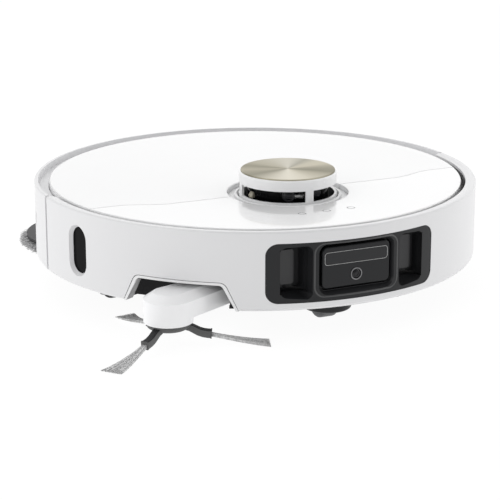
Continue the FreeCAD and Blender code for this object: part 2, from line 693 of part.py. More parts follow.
def arm_gear_case():
    x, y = ARM_PIVOT
    return fuse([
        cyl(x, y, BAY_ROOF + 2.0, 62.0, 17.0),
        cyl(x + 4, y + 30, BAY_ROOF + 2.0, 74.0, 11.0),
        box(x - 8, x + 12, y, y + 30, BAY_ROOF + 2.0, 56.0)])


def battery():
    pack = box(-46.0, 60.0, -143.0, -98.5, 44.0, 60.0)
    top = [e for e in pack.Edges if e.BoundBox.ZLength > 5]
    return pack.makeFillet(5.0, top)


def main_board():
    board = box(-56.0, 58.0, -143.0, -113.0, 66.0, 67.6)
    chips = [board]
    for x, y, w, h in ((-40, -136, 18, 3), (-8, -134, 22, 2.5), (30, -138, 14, 4)):
        chips.append(box(x, x + w, y, y + 12, 67.6, 67.6 + h))
    for x in BUTTON_X:
        chips.append(box(x - 3, x + 3, BUTTON_Y - 3, BUTTON_Y + 3, 67.6, 74.0))
    legs = [box(x, x + 6, -143, -137, 60.0, 66.0) for x in (-44, 50)]
    return fuse(chips + legs)


def fan_housing():
    z0, z1 = REAR_FLOOR_Z + FLOOR_T, 70.0
    body = cyl(0, FAN_Y, z0, z1, FAN_R)
    hollow = cyl(0, FAN_Y, z0 + 6.0, z1 - 3.0, FAN_R - 2.5)
    inlet = ycyl(0, BIN_Y1, FAN_Y, 56.0, 9.0)
    snout = ycyl(0, BIN_Y1 + 0.6, FAN_Y - FAN_R + 4, 56.0, 11.0)
    return cut(fuse([body, snout]), [hollow, inlet])


def suction_impeller():
    z0 = REAR_FLOOR_Z + FLOOR_T
    disc = cyl(0, FAN_Y, z0 + 8, z0 + 10, 20.0)
    hub = cyl(0, FAN_Y, z0 + 6.5, z0 + 24, 6.0)
    vanes = [disc, hub]
    for i in range(7):
        vane = box(5.0, 19.5, FAN_Y - 0.7, FAN_Y + 0.7, z0 + 10, z0 + 19)
        vane.rotate(V(0, FAN_Y, 0), UP, 360.0 / 7 * i)
        vanes.append(vane)
    return fuse(vanes)


def water_tank():
    z0, z1 = REAR_FLOOR_Z + FLOOR_T, 73.0
    keep = cyl(0, 0, z0, z1, WALL_R - WALL_T - 1.0)
    tank = box(-160, -62, 40.0, 108.0, z0, z1).common(keep)
    spout = box(-66, -58.5, 108.0, 144.0, 44.0, 56.0)
    link = box(-60, -46, 138.0 + 6.0, 150.0, 44.0, 56.0)
    return fuse([tank, spout.cut(link)])


def mop_gearbox(centre, z1):
    x, y = centre
    z0 = REAR_FLOOR_Z + FLOOR_T
    side = 1 if x > 0 else -1
    lo, hi = (x - 3.9, x + 34) if side > 0 else (x - 13, x + 13)
    body = box(lo, hi, y - 13, y + 13 if side > 0 else y + 12, z0, z1)
    body = fuse([body, cyl(x, y, z0, z1, MOP_SHAFT_R + 4)])
    if side > 0:
        body = body.cut(box(0, BIN_X + 2.0, 0, BIN_Y1 + 2.0, z0 - 1, z1 + 1))
    return body.cut(cyl(x, y, z0 - 1, z1 + 1, MOP_SHAFT_R + CLEAR))


def cliff_sensors():
    out = []
    for x, y in ((62.0, -106.0), (-34.0, -104.0), (104.0, -70.0), (0.0, 0.0)):
        out.append(box(x - 9, x + 9, y - 4, y + 4, FLOOR_Z - 1.0, FLOOR_Z))
    return Part.makeCompound(out)


# ---- wheels ------------------------------------------------------------------------
def wheel_hub(side):
    x0, x1 = WHEEL_X - WHEEL_W / 2, WHEEL_X + WHEEL_W / 2
    body = xcyl(x0 + 1, x1 - 1, WHEEL_Y, WHEEL_R, TYRE_IN_R)
    dish = xcyl(x1 - 5, x1 + 5, WHEEL_Y, WHEEL_R, TYRE_IN_R - 4)
    cap = xcyl(x1 - 5, x1 - 2, WHEEL_Y, WHEEL_R, 9)
    axle = xcyl(x0 - 12, x0 + 1, WHEEL_Y, WHEEL_R, 4.0)
    shape = fuse([body.cut(dish), cap, axle])
    if side < 0:
        shape = shape.mirror(V(0, 0, 0), X_AXIS)
    return shape


def tyre(side):
    x0, x1 = WHEEL_X - WHEEL_W / 2, WHEEL_X + WHEEL_W / 2
    ring = xcyl(x0, x1, WHEEL_Y, WHEEL_R, WHEEL_R)
    ring = ring.makeFillet(1.5, [e for e in ring.Edges if e.BoundBox.XLength < 0.1])
    ring = ring.cut(xcyl(x0 - 1, x1 + 1, WHEEL_Y, WHEEL_R, TYRE_IN_R))
    if side < 0:
        ring = ring.mirror(V(0, 0, 0), X_AXIS)
    return ring


def suspension(side):
    body = box(94.0, 108.6, SUSP_PIVOT_Y + 10.0, 12.0, 22.0, 58.0)
    ends = [e for e in body.Edges if e.BoundBox.XLength > 5]
    body = body.makeFillet(4.0, ends)
    eye = xcyl(94.0, 108.6, SUSP_PIVOT_Y, SUSP_PIVOT_Z, 5.5)
    neck = box(94.0, 108.6, SUSP_PIVOT_Y, SUSP_PIVOT_Y + 12.0, SUSP_PIVOT_Z - 5.5, SUSP_PIVOT_Z + 5.5)
    pin = xcyl(87.0, 94.5, SUSP_PIVOT_Y, SUSP_PIVOT_Z, 3.0)
    bore = xcyl(97.5, 109.0, WHEEL_Y, WHEEL_R, 4.0 + CLEAR)
    shape = fuse([body, eye, neck, pin]).cut(bore)
    if side < 0:
        shape = shape.mirror(V(0, 0, 0), X_AXIS)
    return shape


def caster_fork():
    dome = cyl(0, CASTER_Y, 9.0, 24.0, 18.5)
    top = [e for e in dome.Edges if abs(e.BoundBox.ZMin - 9.0) < 0.1 and e.BoundBox.ZLength < 0.1]
    dome = dome.makeFillet(2.0, top)
    stem = cyl(0, CASTER_Y, 24.0, 41.0, 4.0)
    y = CASTER_Y + CASTER_TRAIL
    half = CASTER_W / 2 + 0.8
    slot = xcyl(-half, half, y, CASTER_R, CASTER_R + 1.2)
    low = box(-half, half, y - CASTER_R - 1.2, y + CASTER_R + 1.2, 0, CASTER_R)
    axle = xcyl(-half - 3, half + 3, y, CASTER_R, 1.8 + CLEAR)
    return cut(fuse([dome, stem]), [slot, low, axle])


def caster_wheel():
    y = CASTER_Y + CASTER_TRAIL
    half = CASTER_W / 2
    wheel = xcyl(-half, half, y, CASTER_R, CASTER_R)
    wheel = wheel.makeFillet(3.0, [e for e in wheel.Edges if e.BoundBox.XLength < 0.1])
    return fuse([wheel, xcyl(-half - 3, half + 3, y, CASTER_R, 1.8)])


# ---- side brush ---------------------------------------------------------------------
def side_brush_arm():
    wall = fuse([
        cyl(BRUSH_HUB[0], BRUSH_HUB[1], HUB_BOTTOM, ARM_SHOULDER, HUB_R),
        capsule(BRUSH_HUB, HUB_R, ARM_PIVOT, ARM_END_R, ARM_BOTTOM, ARM_SHOULDER)])
    grow = 7.0
    bevel_hub = Part.makeCone(HUB_R, HUB_R - grow, ARM_TOP - ARM_SHOULDER,
                              V(BRUSH_HUB[0], BRUSH_HUB[1], ARM_SHOULDER), UP)
    bevel_end = Part.makeCone(ARM_END_R, ARM_END_R - grow, ARM_TOP - ARM_SHOULDER,
                              V(ARM_PIVOT[0], ARM_PIVOT[1], ARM_SHOULDER), UP)
    dx, dy = ARM_PIVOT[0] - BRUSH_HUB[0], ARM_PIVOT[1] - BRUSH_HUB[1]
    length = math.hypot(dx, dy)
    base = math.atan2(dy, dx)
    lean = math.acos((HUB_R - ARM_END_R) / length)
    low, top = [], []
    for sign, order in ((1, (0, 1)), (-1, (1, 0))):
        a = base + sign * lean
        ends = ((BRUSH_HUB, HUB_R), (ARM_PIVOT, ARM_END_R))
        for k in order:
            c, r = ends[k]
            low.append(V(c[0] + r * math.cos(a), c[1] + r * math.sin(a), ARM_SHOULDER))
            top.append(V(c[0] + (r - grow) * math.cos(a),
                         c[1] + (r - grow) * math.sin(a), ARM_TOP))
    web = Part.makeLoft([
        Part.makePolygon(low + [low[0]]), Part.makePolygon(top + [top[0]])], True, True)
    body = fuse([wall, web, bevel_hub, bevel_end])
    socket = cyl(BRUSH_HUB[0], BRUSH_HUB[1], 10, 30, 3.0 + CLEAR)
    pivot = cyl(ARM_PIVOT[0], ARM_PIVOT[1], 10, 60, 5.0 + CLEAR)
    return cut(body, [socket, pivot])


def side_brush_hub():
    disc = cyl(BRUSH_HUB[0], BRUSH_HUB[1], 13.6, 17.4, 15.0)
    disc = disc.makeFillet(1.5, [e for e in disc.Edges
                                 if e.BoundBox.ZLength < 0.1 and e.BoundBox.ZMin < 14])
    shaft = cyl(BRUSH_HUB[0], BRUSH_HUB[1], 17.4, 29.0, 3.0)
    sleeves = []
    for a in BLADE_ANGLES:
        sleeves.append(blade_part(a, [
            (8.0, 11.4, 3.4, 3.2), (16.0, 10.8, 3.2, 3.4),
            (24.0, 8.2, 3.0, 3.6), (SLEEVE_END_R, 6.2, 3.0, 3.6)]))
    return fuse([disc, shaft] + sleeves)


def blade_part(angle, stations):
    """A strip along a blade: stations are (radius, height, half width, thickness)."""
    wires = []
    for r, z, w, t in stations:
        pts = [V(r, -w, z), V(r, w, z), V(r, w, z + t), V(r, -w, z + t)]
        wires.append(Part.makePolygon(pts + [pts[0]]))
    solid = Part.makeLoft(wires, True, True)
    solid.rotate(V(0, 0, 0), UP, angle)
    solid.translate(V(BRUSH_HUB[0], BRUSH_HUB[1], 0))
    return solid


def side_brush_bristles():
    out = []
    for a in BLADE_ANGLES:
        strip = blade_part(a, [
            (SLEEVE_END_R, 7.0, 1.8, 2.0), (50.0, 3.6, 4.2, 1.6),
            (BRISTLE_TIP_R, 1.0, 8.6, 1.2)])
        out.append(strip)
    return Part.makeCompound(out)


# ---- mops ------------------------------------------------------------------------------
def mop_pad(centre):
    pad = cyl(centre[0], centre[1], 0.0, PAD_T, MOP_R)
    return pad.makeFillet(2.0, [e for e in pad.Edges if e.BoundBox.ZLength < 0.1])


def mop_plate(centre):
    plate = cyl(centre[0], centre[1], PAD_T, PLATE_TOP, MOP_R - 4.0)
    return plate.cut(cyl(centre[0], centre[1], 0, 20, 4.0 + CLEAR))


def mop_shaft_left():
    x, y = MOP_LEFT
    return fuse([
        cyl(x, y, MOP_ARM_Z0, 58.0, MOP_SHAFT_R),
        cyl(x, y, PAD_T + 0.1, MOP_ARM_Z0, 4.0)])


def mop_shaft_right():
    x, y = MOP_PIVOT
    return fuse([
        cyl(x, y, MOP_ARM_Z0 + 0.5, 58.0, MOP_SHAFT_R),
        cyl(x, y, MOP_ARM_Z1 + 0.3, MOP_ARM_Z1 + 1.5, MOP_SHAFT_R + 1.6)])


def mop_arm_right():
    body = capsule(MOP_PIVOT, 13.0, MOP_RIGHT, 11.0, MOP_ARM_Z0, MOP_ARM_Z1)
    bore = cyl(MOP_PIVOT[0], MOP_PIVOT[1], 0, 30, MOP_SHAFT_R + CLEAR)
    pin = cyl(MOP_RIGHT[0], MOP_RIGHT[1], PAD_T + 0.1, MOP_ARM_Z0 + 1, 4.0)
    return fuse([body.cut(bore), pin])


# ---- dust bin ---------------------------------------------------------------------------
def dustbin():
    outer = box(-BIN_X, BIN_X, BIN_Y0, BIN_Y1, BIN_Z0, BIN_Z1)
    inner = box(-BIN_X + BIN_WALL, BIN_X - BIN_WALL, BIN_Y0 + BIN_WALL, BIN_Y1 - BIN_WALL,
                BIN_Z0 + BIN_WALL, BIN_Z1 - BIN_WALL)
    inlet = box(-27, 27, BIN_Y0 - 1, BIN_Y0 + 4, BIN_Z0 + BIN_WALL, 42.0)
    outlet = ycyl(0, BIN_Y1 - 4, BIN_Y1 + 4, 56.0, 9.0)
    body = cut(outer, [inner, inlet, outlet])
    posts = [box(x - 3, x + 3, 38.0, 46.0, BIN_Z1, HANDLE_TOP) for x in (-30.0, 30.0)]
    bar = box(-30.0, 30.0, 39.5, 44.5, HANDLE_TOP - 2.5, HANDLE_TOP)
    return fuse([body, bar] + posts)


def bin_filter():
    frame = box(-40, 40, BIN_Y1 - 14, BIN_Y1 - 2, 42.0, 68.0)
    pleats = []
    for i in range(12):
        x = -36.0 + 6.0 * i
        pleats.append(box(x, x + 3.0, BIN_Y1 - 15, BIN_Y1 - 5, 45.0, 67.0))
    return cut(frame, pleats)


# ---- export --------------------------------------------------------------------------------
def main():
    os.makedirs("parts", exist_ok=True)
    save("chassis_base", chassis_base())
    save("rear_floor", rear_floor())
    save("chassis_wall", chassis_wall())
    save("bay_shells", bay_shells())
    save("rear_shell", rear_shell())
    save("top_deck", deck())
    save("front_panel", front_panel())
    save("turret_well", turret_well())
    save("lidar_base", lidar_base())
    save("brush_housing", brush_housing())
    save("suction_duct", suction_duct())
    save("brush_guard", brush_guard())
    save("gear_cases", Part.makeCompound([
        arm_gear_case(), brush_gear_case(), mop_gearbox(MOP_LEFT, 66.0),
        mop_gearbox(MOP_PIVOT, 66.0)]))
    save("battery_pack", battery())
    save("main_board", main_board())
    save("fan_housing", fan_housing())
    save("suction_impeller", suction_impeller())
    save("water_tank", water_tank())
    save("water_inlet", water_inlet())
    save("cliff_sensors", cliff_sensors())
    save("dock_contacts", dock_contacts())
    save("bumper_skirt", bumper_skirt())
    save("arm_bay_trim", arm_bay_trim())
    save("side_window", side_window())
    save("sensor_bay", sensor_bay())
    save("camera_panel", camera_panel())
    save("light_bar", light_bar())
    save("camera_ring", camera_ring())
    save("camera_lens", camera_lens())
    save("laser_windows", laser_windows())
    save("rear_lid", rear_lid())
    save("turret_cap", turret_cap())
    save("turret_disc", turret_disc())
    save("lidar_rotor", lidar_rotor())
    save("lidar_lens", lidar_lens())
    for name, x in zip(("right", "middle", "left"), BUTTON_X):
        save("button_" + name, button(x))
    for name, side in (("right", -1), ("left", 1)):
        save("suspension_" + name, suspension(side))
        save("wheel_hub_" + name, wheel_hub(side))
        save("tyre_" + name, tyre(side))
    save("caster_fork", caster_fork())
    save("caster_wheel", caster_wheel())
    save("main_brush_core", main_brush_core())
    save("main_brush_fins", main_brush_fins())
    save("side_brush_arm", side_brush_arm())
    save("side_brush_hub", side_brush_hub())
    save("side_brush_bristles", side_brush_bristles())
    save("mop_shaft_left", mop_shaft_left())
    save("mop_plate_left", mop_plate(MOP_LEFT))
    save("mop_pad_left", mop_pad(MOP_LEFT))
    save("mop_shaft_right", mop_shaft_right())
    save("mop_arm_right", mop_arm_right())
    save("mop_plate_right", mop_plate(MOP_RIGHT))
    save("mop_pad_right", mop_pad(MOP_RIGHT))
    save("dustbin", dustbin())
    save("bin_filter", bin_filter())


main()
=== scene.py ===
import math
import random

import bmesh
import bpy
from mathutils import Matrix, Vector


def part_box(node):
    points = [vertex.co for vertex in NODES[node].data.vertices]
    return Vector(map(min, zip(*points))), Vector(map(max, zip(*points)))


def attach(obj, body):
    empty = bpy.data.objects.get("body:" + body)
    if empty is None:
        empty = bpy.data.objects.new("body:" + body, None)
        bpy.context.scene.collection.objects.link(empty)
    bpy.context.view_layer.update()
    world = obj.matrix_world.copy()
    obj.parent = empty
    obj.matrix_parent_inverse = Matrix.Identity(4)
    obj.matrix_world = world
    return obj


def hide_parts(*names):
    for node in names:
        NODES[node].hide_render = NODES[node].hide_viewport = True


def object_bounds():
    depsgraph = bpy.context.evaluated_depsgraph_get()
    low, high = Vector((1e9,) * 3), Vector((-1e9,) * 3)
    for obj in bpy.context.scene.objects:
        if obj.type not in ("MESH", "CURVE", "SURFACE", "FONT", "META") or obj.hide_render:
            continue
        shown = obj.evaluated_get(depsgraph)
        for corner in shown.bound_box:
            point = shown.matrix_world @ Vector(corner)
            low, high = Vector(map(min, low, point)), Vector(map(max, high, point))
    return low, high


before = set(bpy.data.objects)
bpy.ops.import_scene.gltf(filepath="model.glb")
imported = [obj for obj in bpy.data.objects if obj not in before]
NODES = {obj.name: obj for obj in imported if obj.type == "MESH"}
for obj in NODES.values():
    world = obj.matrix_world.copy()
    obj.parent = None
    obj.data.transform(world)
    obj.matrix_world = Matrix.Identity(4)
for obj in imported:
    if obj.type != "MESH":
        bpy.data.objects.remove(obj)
CAD_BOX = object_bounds()
MM = 0.001


# ---- materials --------------------------------------------------------------
def material(name):
    mat = bpy.data.materials.new(name)
    mat.use_nodes = True
    tree = mat.node_tree
    shader = next(n for n in tree.nodes if n.type == "BSDF_PRINCIPLED")
    return mat, tree, shader


def coords(tree, scale=(1, 1, 1)):
    """Object coordinates, which are metres in the part's own frame."""
    where = tree.nodes.new("ShaderNodeTexCoord")
    mapping = tree.nodes.new("ShaderNodeMapping")
    mapping.inputs["Scale"].default_value = scale
    tree.links.new(where.outputs["Object"], mapping.inputs["Vector"])
    return mapping.outputs["Vector"]


def noise(tree, vector, scale, detail=3.0, rough=0.5):
    n = tree.nodes.new("ShaderNodeTexNoise")
    n.inputs["Scale"].default_value = scale
    n.inputs["Detail"].default_value = detail
    n.inputs["Roughness"].default_value = rough
    tree.links.new(vector, n.inputs["Vector"])
    return n.outputs["Fac"]


def ramp(tree, value, stops):
    r = tree.nodes.new("ShaderNodeValToRGB")
    while len(r.color_ramp.elements) < len(stops):
        r.color_ramp.elements.new(0.5)
    for e, (at, color) in zip(r.color_ramp.elements, stops):
        e.position = at
        e.color = (*color, 1) if len(color) == 3 else color
    tree.links.new(value, r.inputs["Fac"])
    return r.outputs["Color"]


def spread(tree, value, low, high):
    m = tree.nodes.new("ShaderNodeMapRange")
    m.inputs["To Min"].default_value = low
    m.inputs["To Max"].default_value = high
    tree.links.new(value, m.inputs["Value"])
    return m.outputs["Result"]


def bump(tree, shader, height, strength, distance):
    b = tree.nodes.new("ShaderNodeBump")
    b.inputs["Strength"].default_value = strength
    b.inputs["Distance"].default_value = distance
    tree.links.new(height, b.inputs["Height"])
    tree.links.new(b.outputs["Normal"], shader.inputs["Normal"])


def moulded(name, low, high, rough, grain=0.0, grain_scale=2600.0, coat=0.0, coat_rough=0.03,
            mottle=9.0, rough_spread=0.05, ior=1.46, specular=0.5):
    """A moulded plastic: faint large colour drift, uneven gloss and a fine grain."""
    mat, tree, shader = material(name)
    at = coords(tree)
    drift = noise(tree, at, mottle, 2.0)
    tree.links.new(ramp(tree, drift, [(0.3, low), (0.7, high)]), shader.inputs["Base Color"])
    smear = noise(tree, at, mottle * 5.0, 4.0, 0.6)
    tree.links.new(
        spread(tree, smear, rough - rough_spread, rough + rough_spread),
        shader.inputs["Roughness"])
    if grain:
        fine = noise(tree, at, grain_scale, 2.0, 0.7)
        bump(tree, shader, fine, grain, 0.0002)
    shader.inputs["Coat Weight"].default_value = coat
    shader.inputs["Coat Roughness"].default_value = coat_rough
    shader.inputs["IOR"].default_value = ior
    shader.inputs["Specular IOR Level"].default_value = specular
    return mat


def facing_lit_rubber(name, top, side):
    """Rubber that is painted lighter grey on its flanks and dark on top, keyed on the way the
    surface faces: painted light.
    """
    mat, tree, shader = material(name)
    where = tree.nodes.new("ShaderNodeTexCoord")
    split = tree.nodes.new("ShaderNodeSeparateXYZ")
    tree.links.new(where.outputs["Normal"], split.inputs["Vector"])
    # Painted light: flanks lighter than the top, chosen by the height of the surface normal.
    facing_light_colour = ramp(tree, split.outputs["Z"], [(0.25, side), (0.55, top)])
    speck = noise(tree, where.outputs["Object"], 1400.0, 3.0, 0.7)
    mix = tree.nodes.new("ShaderNodeMix")
    mix.data_type = "RGBA"
    mix.blend_type = "MULTIPLY"
    mix.inputs["Factor"].default_value = 0.5
    tree.links.new(facing_light_colour, mix.inputs["A"])
    tree.links.new(ramp(tree, speck, [(0.3, (0.6, 0.6, 0.6)), (0.7, (1, 1, 1))]),
                   mix.inputs["B"])
    tree.links.new(mix.outputs["Result"], shader.inputs["Base Color"])
    shader.inputs["Roughness"].default_value = 0.55
    shader.inputs["Specular IOR Level"].default_value = 0.3
    bump(tree, shader, speck, 0.15, 0.0002)
    return mat


# The spun disc's light and dark fans, painted into its colour as a painted reflection: turn in
# 0..1 from the front, and how light.
PAINTED_RAY_TURN = 115.24 - 180.0
PAINTED_RAYS = ((0.0, 0.95), (0.07, 1.0), (0.15, 0.55), (0.205, 0.12), (0.27, 0.5), (0.335, 1.0),
        (0.385, 0.75), (0.43, 0.10), (0.49, 0.55), (0.57, 0.62), (0.64, 0.60), (0.70, 0.15),
        (0.765, 0.85), (0.85, 0.08), (0.92, 0.6), (1.0, 0.95))
PAINTED_RAY_DARK, PAINTED_RAY_LIGHT = (0.225, 0.21, 0.15), (0.54, 0.50, 0.395)


def brushed_disc(name, centre):
    """Spun metal: fine rings that smear the highlight, and light and dark fans painted into the
    colour as a painted reflection.
    """
    mat, tree, shader = material(name)
    where = tree.nodes.new("ShaderNodeTexCoord")
    shift = tree.nodes.new("ShaderNodeMapping")
    shift.inputs["Location"].default_value = (-centre[0], -centre[1], 0)
    tree.links.new(where.outputs["Object"], shift.inputs["Vector"])
    split = tree.nodes.new("ShaderNodeSeparateXYZ")
    tree.links.new(shift.outputs["Vector"], split.inputs["Vector"])
    length = tree.nodes.new("ShaderNodeVectorMath")
    length.operation = "LENGTH"
    flat = tree.nodes.new("ShaderNodeCombineXYZ")
    tree.links.new(split.outputs["X"], flat.inputs["X"])
    tree.links.new(split.outputs["Y"], flat.inputs["Y"])
    tree.links.new(flat.outputs["Vector"], length.inputs[0])
    rings = tree.nodes.new("ShaderNodeTexNoise")
    rings.noise_dimensions = "1D"
    rings.inputs["Scale"].default_value = 5200.0
    rings.inputs["Detail"].default_value = 3.0
    tree.links.new(length.outputs["Value"], rings.inputs["W"])
    turn = tree.nodes.new("ShaderNodeMapping")
    turn.inputs["Rotation"].default_value = (0, 0, math.radians(PAINTED_RAY_TURN))
    tree.links.new(flat.outputs["Vector"], turn.inputs["Vector"])
    # Painted reflection: light and dark fans by angle round the disc, multiplied into the base
    # colour.
    around = tree.nodes.new("ShaderNodeTexGradient")
    around.gradient_type = "RADIAL"
    tree.links.new(turn.outputs["Vector"], around.inputs["Vector"])
    stops = []
    for at, share in PAINTED_RAYS:
        stops.append((at, tuple(d + (l - d) * share for d, l in zip(PAINTED_RAY_DARK, PAINTED_RAY_LIGHT))))
    painted_fans = ramp(tree, around.outputs["Fac"], stops)
    mix = tree.nodes.new("ShaderNodeMix")
    mix.data_type = "RGBA"
    mix.blend_type = "MULTIPLY"
    mix.inputs["Factor"].default_value = 0.35
    tree.links.new(painted_fans, mix.inputs["A"])
    grooves = ramp(tree, rings.outputs["Fac"], [
        (0.25, (0.72, 0.72, 0.70)), (0.75, (1.0, 1.0, 1.0))])
    tree.links.new(grooves, mix.inputs["B"])
    tree.links.new(mix.outputs["Result"], shader.inputs["Base Color"])
    tree.links.new(spread(tree, rings.outputs["Fac"], 0.30, 0.40), shader.inputs["Roughness"])
    shader.inputs["Metallic"].default_value = 1.0
    shader.inputs["Anisotropic"].default_value = 0.9
    tangent = tree.nodes.new("ShaderNodeVectorMath")
    tangent.operation = "CROSS_PRODUCT"
    tangent.inputs[1].default_value = (0, 0, 1)
    tree.links.new(flat.outputs["Vector"], tangent.inputs[0])
    unit = tree.nodes.new("ShaderNodeVectorMath")
    unit.operation = "NORMALIZE"
    tree.links.new(tangent.outputs["Vector"], unit.inputs[0])
    tree.links.new(unit.outputs["Vector"], shader.inputs["Tangent"])
    bump(tree, shader, rings.outputs["Fac"], 0.08, 0.0001)
    return mat


def metal(name, low, high, rough, stretch=(1, 1, 1)):
    """Metal with fine machining lines."""
    mat, tree, shader = material(name)
    at = coords(tree, stretch)
    lines = noise(tree, at, 900.0, 3.0)
    tree.links.new(ramp(tree, lines, [(0.3, low), (0.7, high)]), shader.inputs["Base Color"])
    tree.links.new(spread(tree, lines, rough - 0.06, rough + 0.06), shader.inputs["Roughness"])
    shader.inputs["Metallic"].default_value = 1.0
    bump(tree, shader, lines, 0.1, 0.0001)
    return mat


def clear_plastic(name, tint, rough, clarity):
    """Smoky see-through plastic."""
    mat, tree, shader = material(name)
    at = coords(tree)
    drift = noise(tree, at, 30.0, 3.0)
    low = tuple(c * 0.9 for c in tint)
    tree.links.new(ramp(tree, drift, [(0.3, low), (0.7, tint)]), shader.inputs["Base Color"])
    tree.links.new(spread(tree, drift, rough, rough + 0.06), shader.inputs["Roughness"])
    shader.inputs["Transmission Weight"].default_value = clarity
    shader.inputs["IOR"].default_value = 1.49
    return mat


def fibre_cloth(name, low, high):
    """Microfibre: clumped colour, a soft sheen and a fine nap."""
    mat, tree, shader = material(name)
    at = coords(tree)
    clumps = noise(tree, at, 420.0, 5.0, 0.7)
    tree.links.new(ramp(tree, clumps, [(0.3, low), (0.7, high)]), shader.inputs["Base Color"])
    shader.inputs["Roughness"].default_value = 0.95
    shader.inputs["Sheen Weight"].default_value = 0.4
    shader.inputs["Sheen Roughness"].default_value = 0.5
    fine = noise(tree, at, 1800.0, 4.0, 0.8)
    bump(tree, shader, fine, 0.8, 0.0006)
    return mat


def strand_material(name, root, tip):
    """Nylon bristles: each strand a little different along and across."""
    mat, tree, shader = material(name)
    at = coords(tree, (1, 1, 0.3))
    mix = noise(tree, at, 900.0, 3.0)
    tree.links.new(ramp(tree, mix, [(0.3, root), (0.7, tip)]), shader.inputs["Base Color"])
    tree.links.new(spread(tree, mix, 0.32, 0.5), shader.inputs["Roughness"])
    return mat


WHITE_SHELL = moulded("white_shell", (0.760, 0.760, 0.770), (0.778, 0.778, 0.787), 0.34,
                      grain=0.02, coat=0.15, coat_rough=0.25)
WHITE_LID = moulded("white_lid", (0.835, 0.836, 0.840), (0.850, 0.851, 0.855), 0.26,
                    coat=0.5, coat_rough=0.08, rough_spread=0.015)
WHITE_GLASSY = moulded("white_glassy", (0.865, 0.866, 0.870), (0.878, 0.879, 0.882), 0.12,
                       coat=0.45, coat_rough=0.015, rough_spread=0.03)
# Painted light: the arm's white is a lighter copy of the white plastic, to offset the shade under
# the bay's roof.
WHITE_ARM_PAINTED_LIGHT = moulded("white_arm_painted_light", (0.925, 0.926, 0.936), (0.94, 0.941, 0.948), 0.3,
                    grain=0.02, coat=0.2, coat_rough=0.2)
WHITE_TURRET = moulded("white_turret", (0.885, 0.886, 0.892), (0.90, 0.901, 0.906), 0.26,
                       coat=0.3, coat_rough=0.1)
EMITTER = metal("emitter", (0.20, 0.20, 0.20), (0.34, 0.34, 0.34), 0.45)
# Painted shade: the grey of the arm opening's inner wall stands for the white trim's side in
# shadow.
CHEEK_PAINTED_SHADE = moulded("cheek_painted_shade", (0.30, 0.30, 0.305), (0.335, 0.335, 0.34), 0.4, grain=0.02)
WHITE_PART = moulded("white_part", (0.82, 0.822, 0.828), (0.84, 0.842, 0.846), 0.32,
                     grain=0.02, coat=0.2, coat_rough=0.2)
BLACK_GLOSS = moulded("black_gloss", (0.0022, 0.0022, 0.0026), (0.004, 0.004, 0.0044), 0.08,
                      rough_spread=0.03, specular=0.14, ior=1.3)
PANEL_BLACK = moulded("panel_black", (0.0085, 0.009, 0.0105), (0.013, 0.0135, 0.015), 0.26,
                      rough_spread=0.04, specular=0.32)
BAY_BLACK = moulded("bay_black", (0.0125, 0.013, 0.0145), (0.018, 0.0185, 0.020), 0.36,
                    grain=0.04, specular=0.32)
# Partly painted highlight: the lip's black is lighter than the bay's, strengthening its real
# specular highlight.
RIM_BLACK_PAINTED_HIGHLIGHT = moulded("rim_black_painted_highlight", (0.045, 0.0455, 0.047), (0.062, 0.0625, 0.064), 0.24,
                    specular=0.6)
CHASSIS = moulded("chassis_dark", (0.010, 0.010, 0.011), (0.018, 0.018, 0.020), 0.55,
                  grain=0.12, specular=0.3)
GREY_CASE = moulded("grey_case", (0.20, 0.205, 0.21), (0.26, 0.265, 0.27), 0.5, grain=0.1)
HUB_GREY = moulded("hub_grey", (0.055, 0.056, 0.06), (0.085, 0.086, 0.09), 0.42, grain=0.1)
RUBBER = moulded("rubber", (0.012, 0.012, 0.013), (0.020, 0.020, 0.022), 0.62, grain=0.25,
                 grain_scale=1800.0, specular=0.3)
TYRE = moulded("tyre_rubber", (0.014, 0.014, 0.015), (0.024, 0.024, 0.025), 0.75, grain=0.35,
               grain_scale=1500.0, specular=0.3)
SLEEVE = facing_lit_rubber("sleeve_rubber", (0.016, 0.016, 0.017), (0.115, 0.115, 0.115))
GOLD = brushed_disc("gold_spun", (0.0, -0.059))
# Painted highlight: the light line round the lamp strip stands for the highlight along its edge.
LINE_PAINTED_HIGHLIGHT = metal("light_line_painted_highlight", (0.36, 0.36, 0.36), (0.50, 0.50, 0.50), 0.42)
STEEL = metal("steel", (0.50, 0.50, 0.51), (0.64, 0.64, 0.65), 0.32, (1, 1, 8))
RING_METAL = metal("ring_metal", (0.16, 0.16, 0.165), (0.24, 0.24, 0.245), 0.34)
CONTACT = metal("contact", (0.68, 0.56, 0.30), (0.80, 0.68, 0.40), 0.28, (1, 1, 6))
SMOKE = clear_plastic("smoke_plastic", (0.25, 0.26, 0.28), 0.08, 0.75)
TANK = clear_plastic("tank_plastic", (0.70, 0.78, 0.86), 0.18, 0.6)
FILTER = moulded("filter_paper", (0.74, 0.74, 0.71), (0.84, 0.84, 0.81), 0.9, grain=0.6,
                 grain_scale=900.0)
BATTERY = moulded("battery_wrap", (0.03, 0.07, 0.16), (0.045, 0.095, 0.20), 0.28, coat=0.4)
BOARD = moulded("circuit_board", (0.006, 0.06, 0.028), (0.012, 0.09, 0.045), 0.35, mottle=160.0,
                coat=0.3)
FAN = moulded("fan_plastic", (0.03, 0.03, 0.033), (0.045, 0.045, 0.048), 0.45, grain=0.1)
MOP_PLATE = moulded("mop_plate", (0.014, 0.014, 0.016), (0.024, 0.024, 0.027), 0.5, grain=0.12)
MOP_CLOTH = fibre_cloth("mop_cloth", (0.40, 0.40, 0.405), (0.74, 0.74, 0.745))
BRISTLE = strand_material("bristle", (0.50, 0.50, 0.502), (0.97, 0.97, 0.97))
LENS = moulded("lens_glass", (0.0015, 0.0015, 0.003), (0.005, 0.0045, 0.009), 0.05,
               rough_spread=0.02, specular=0.5)
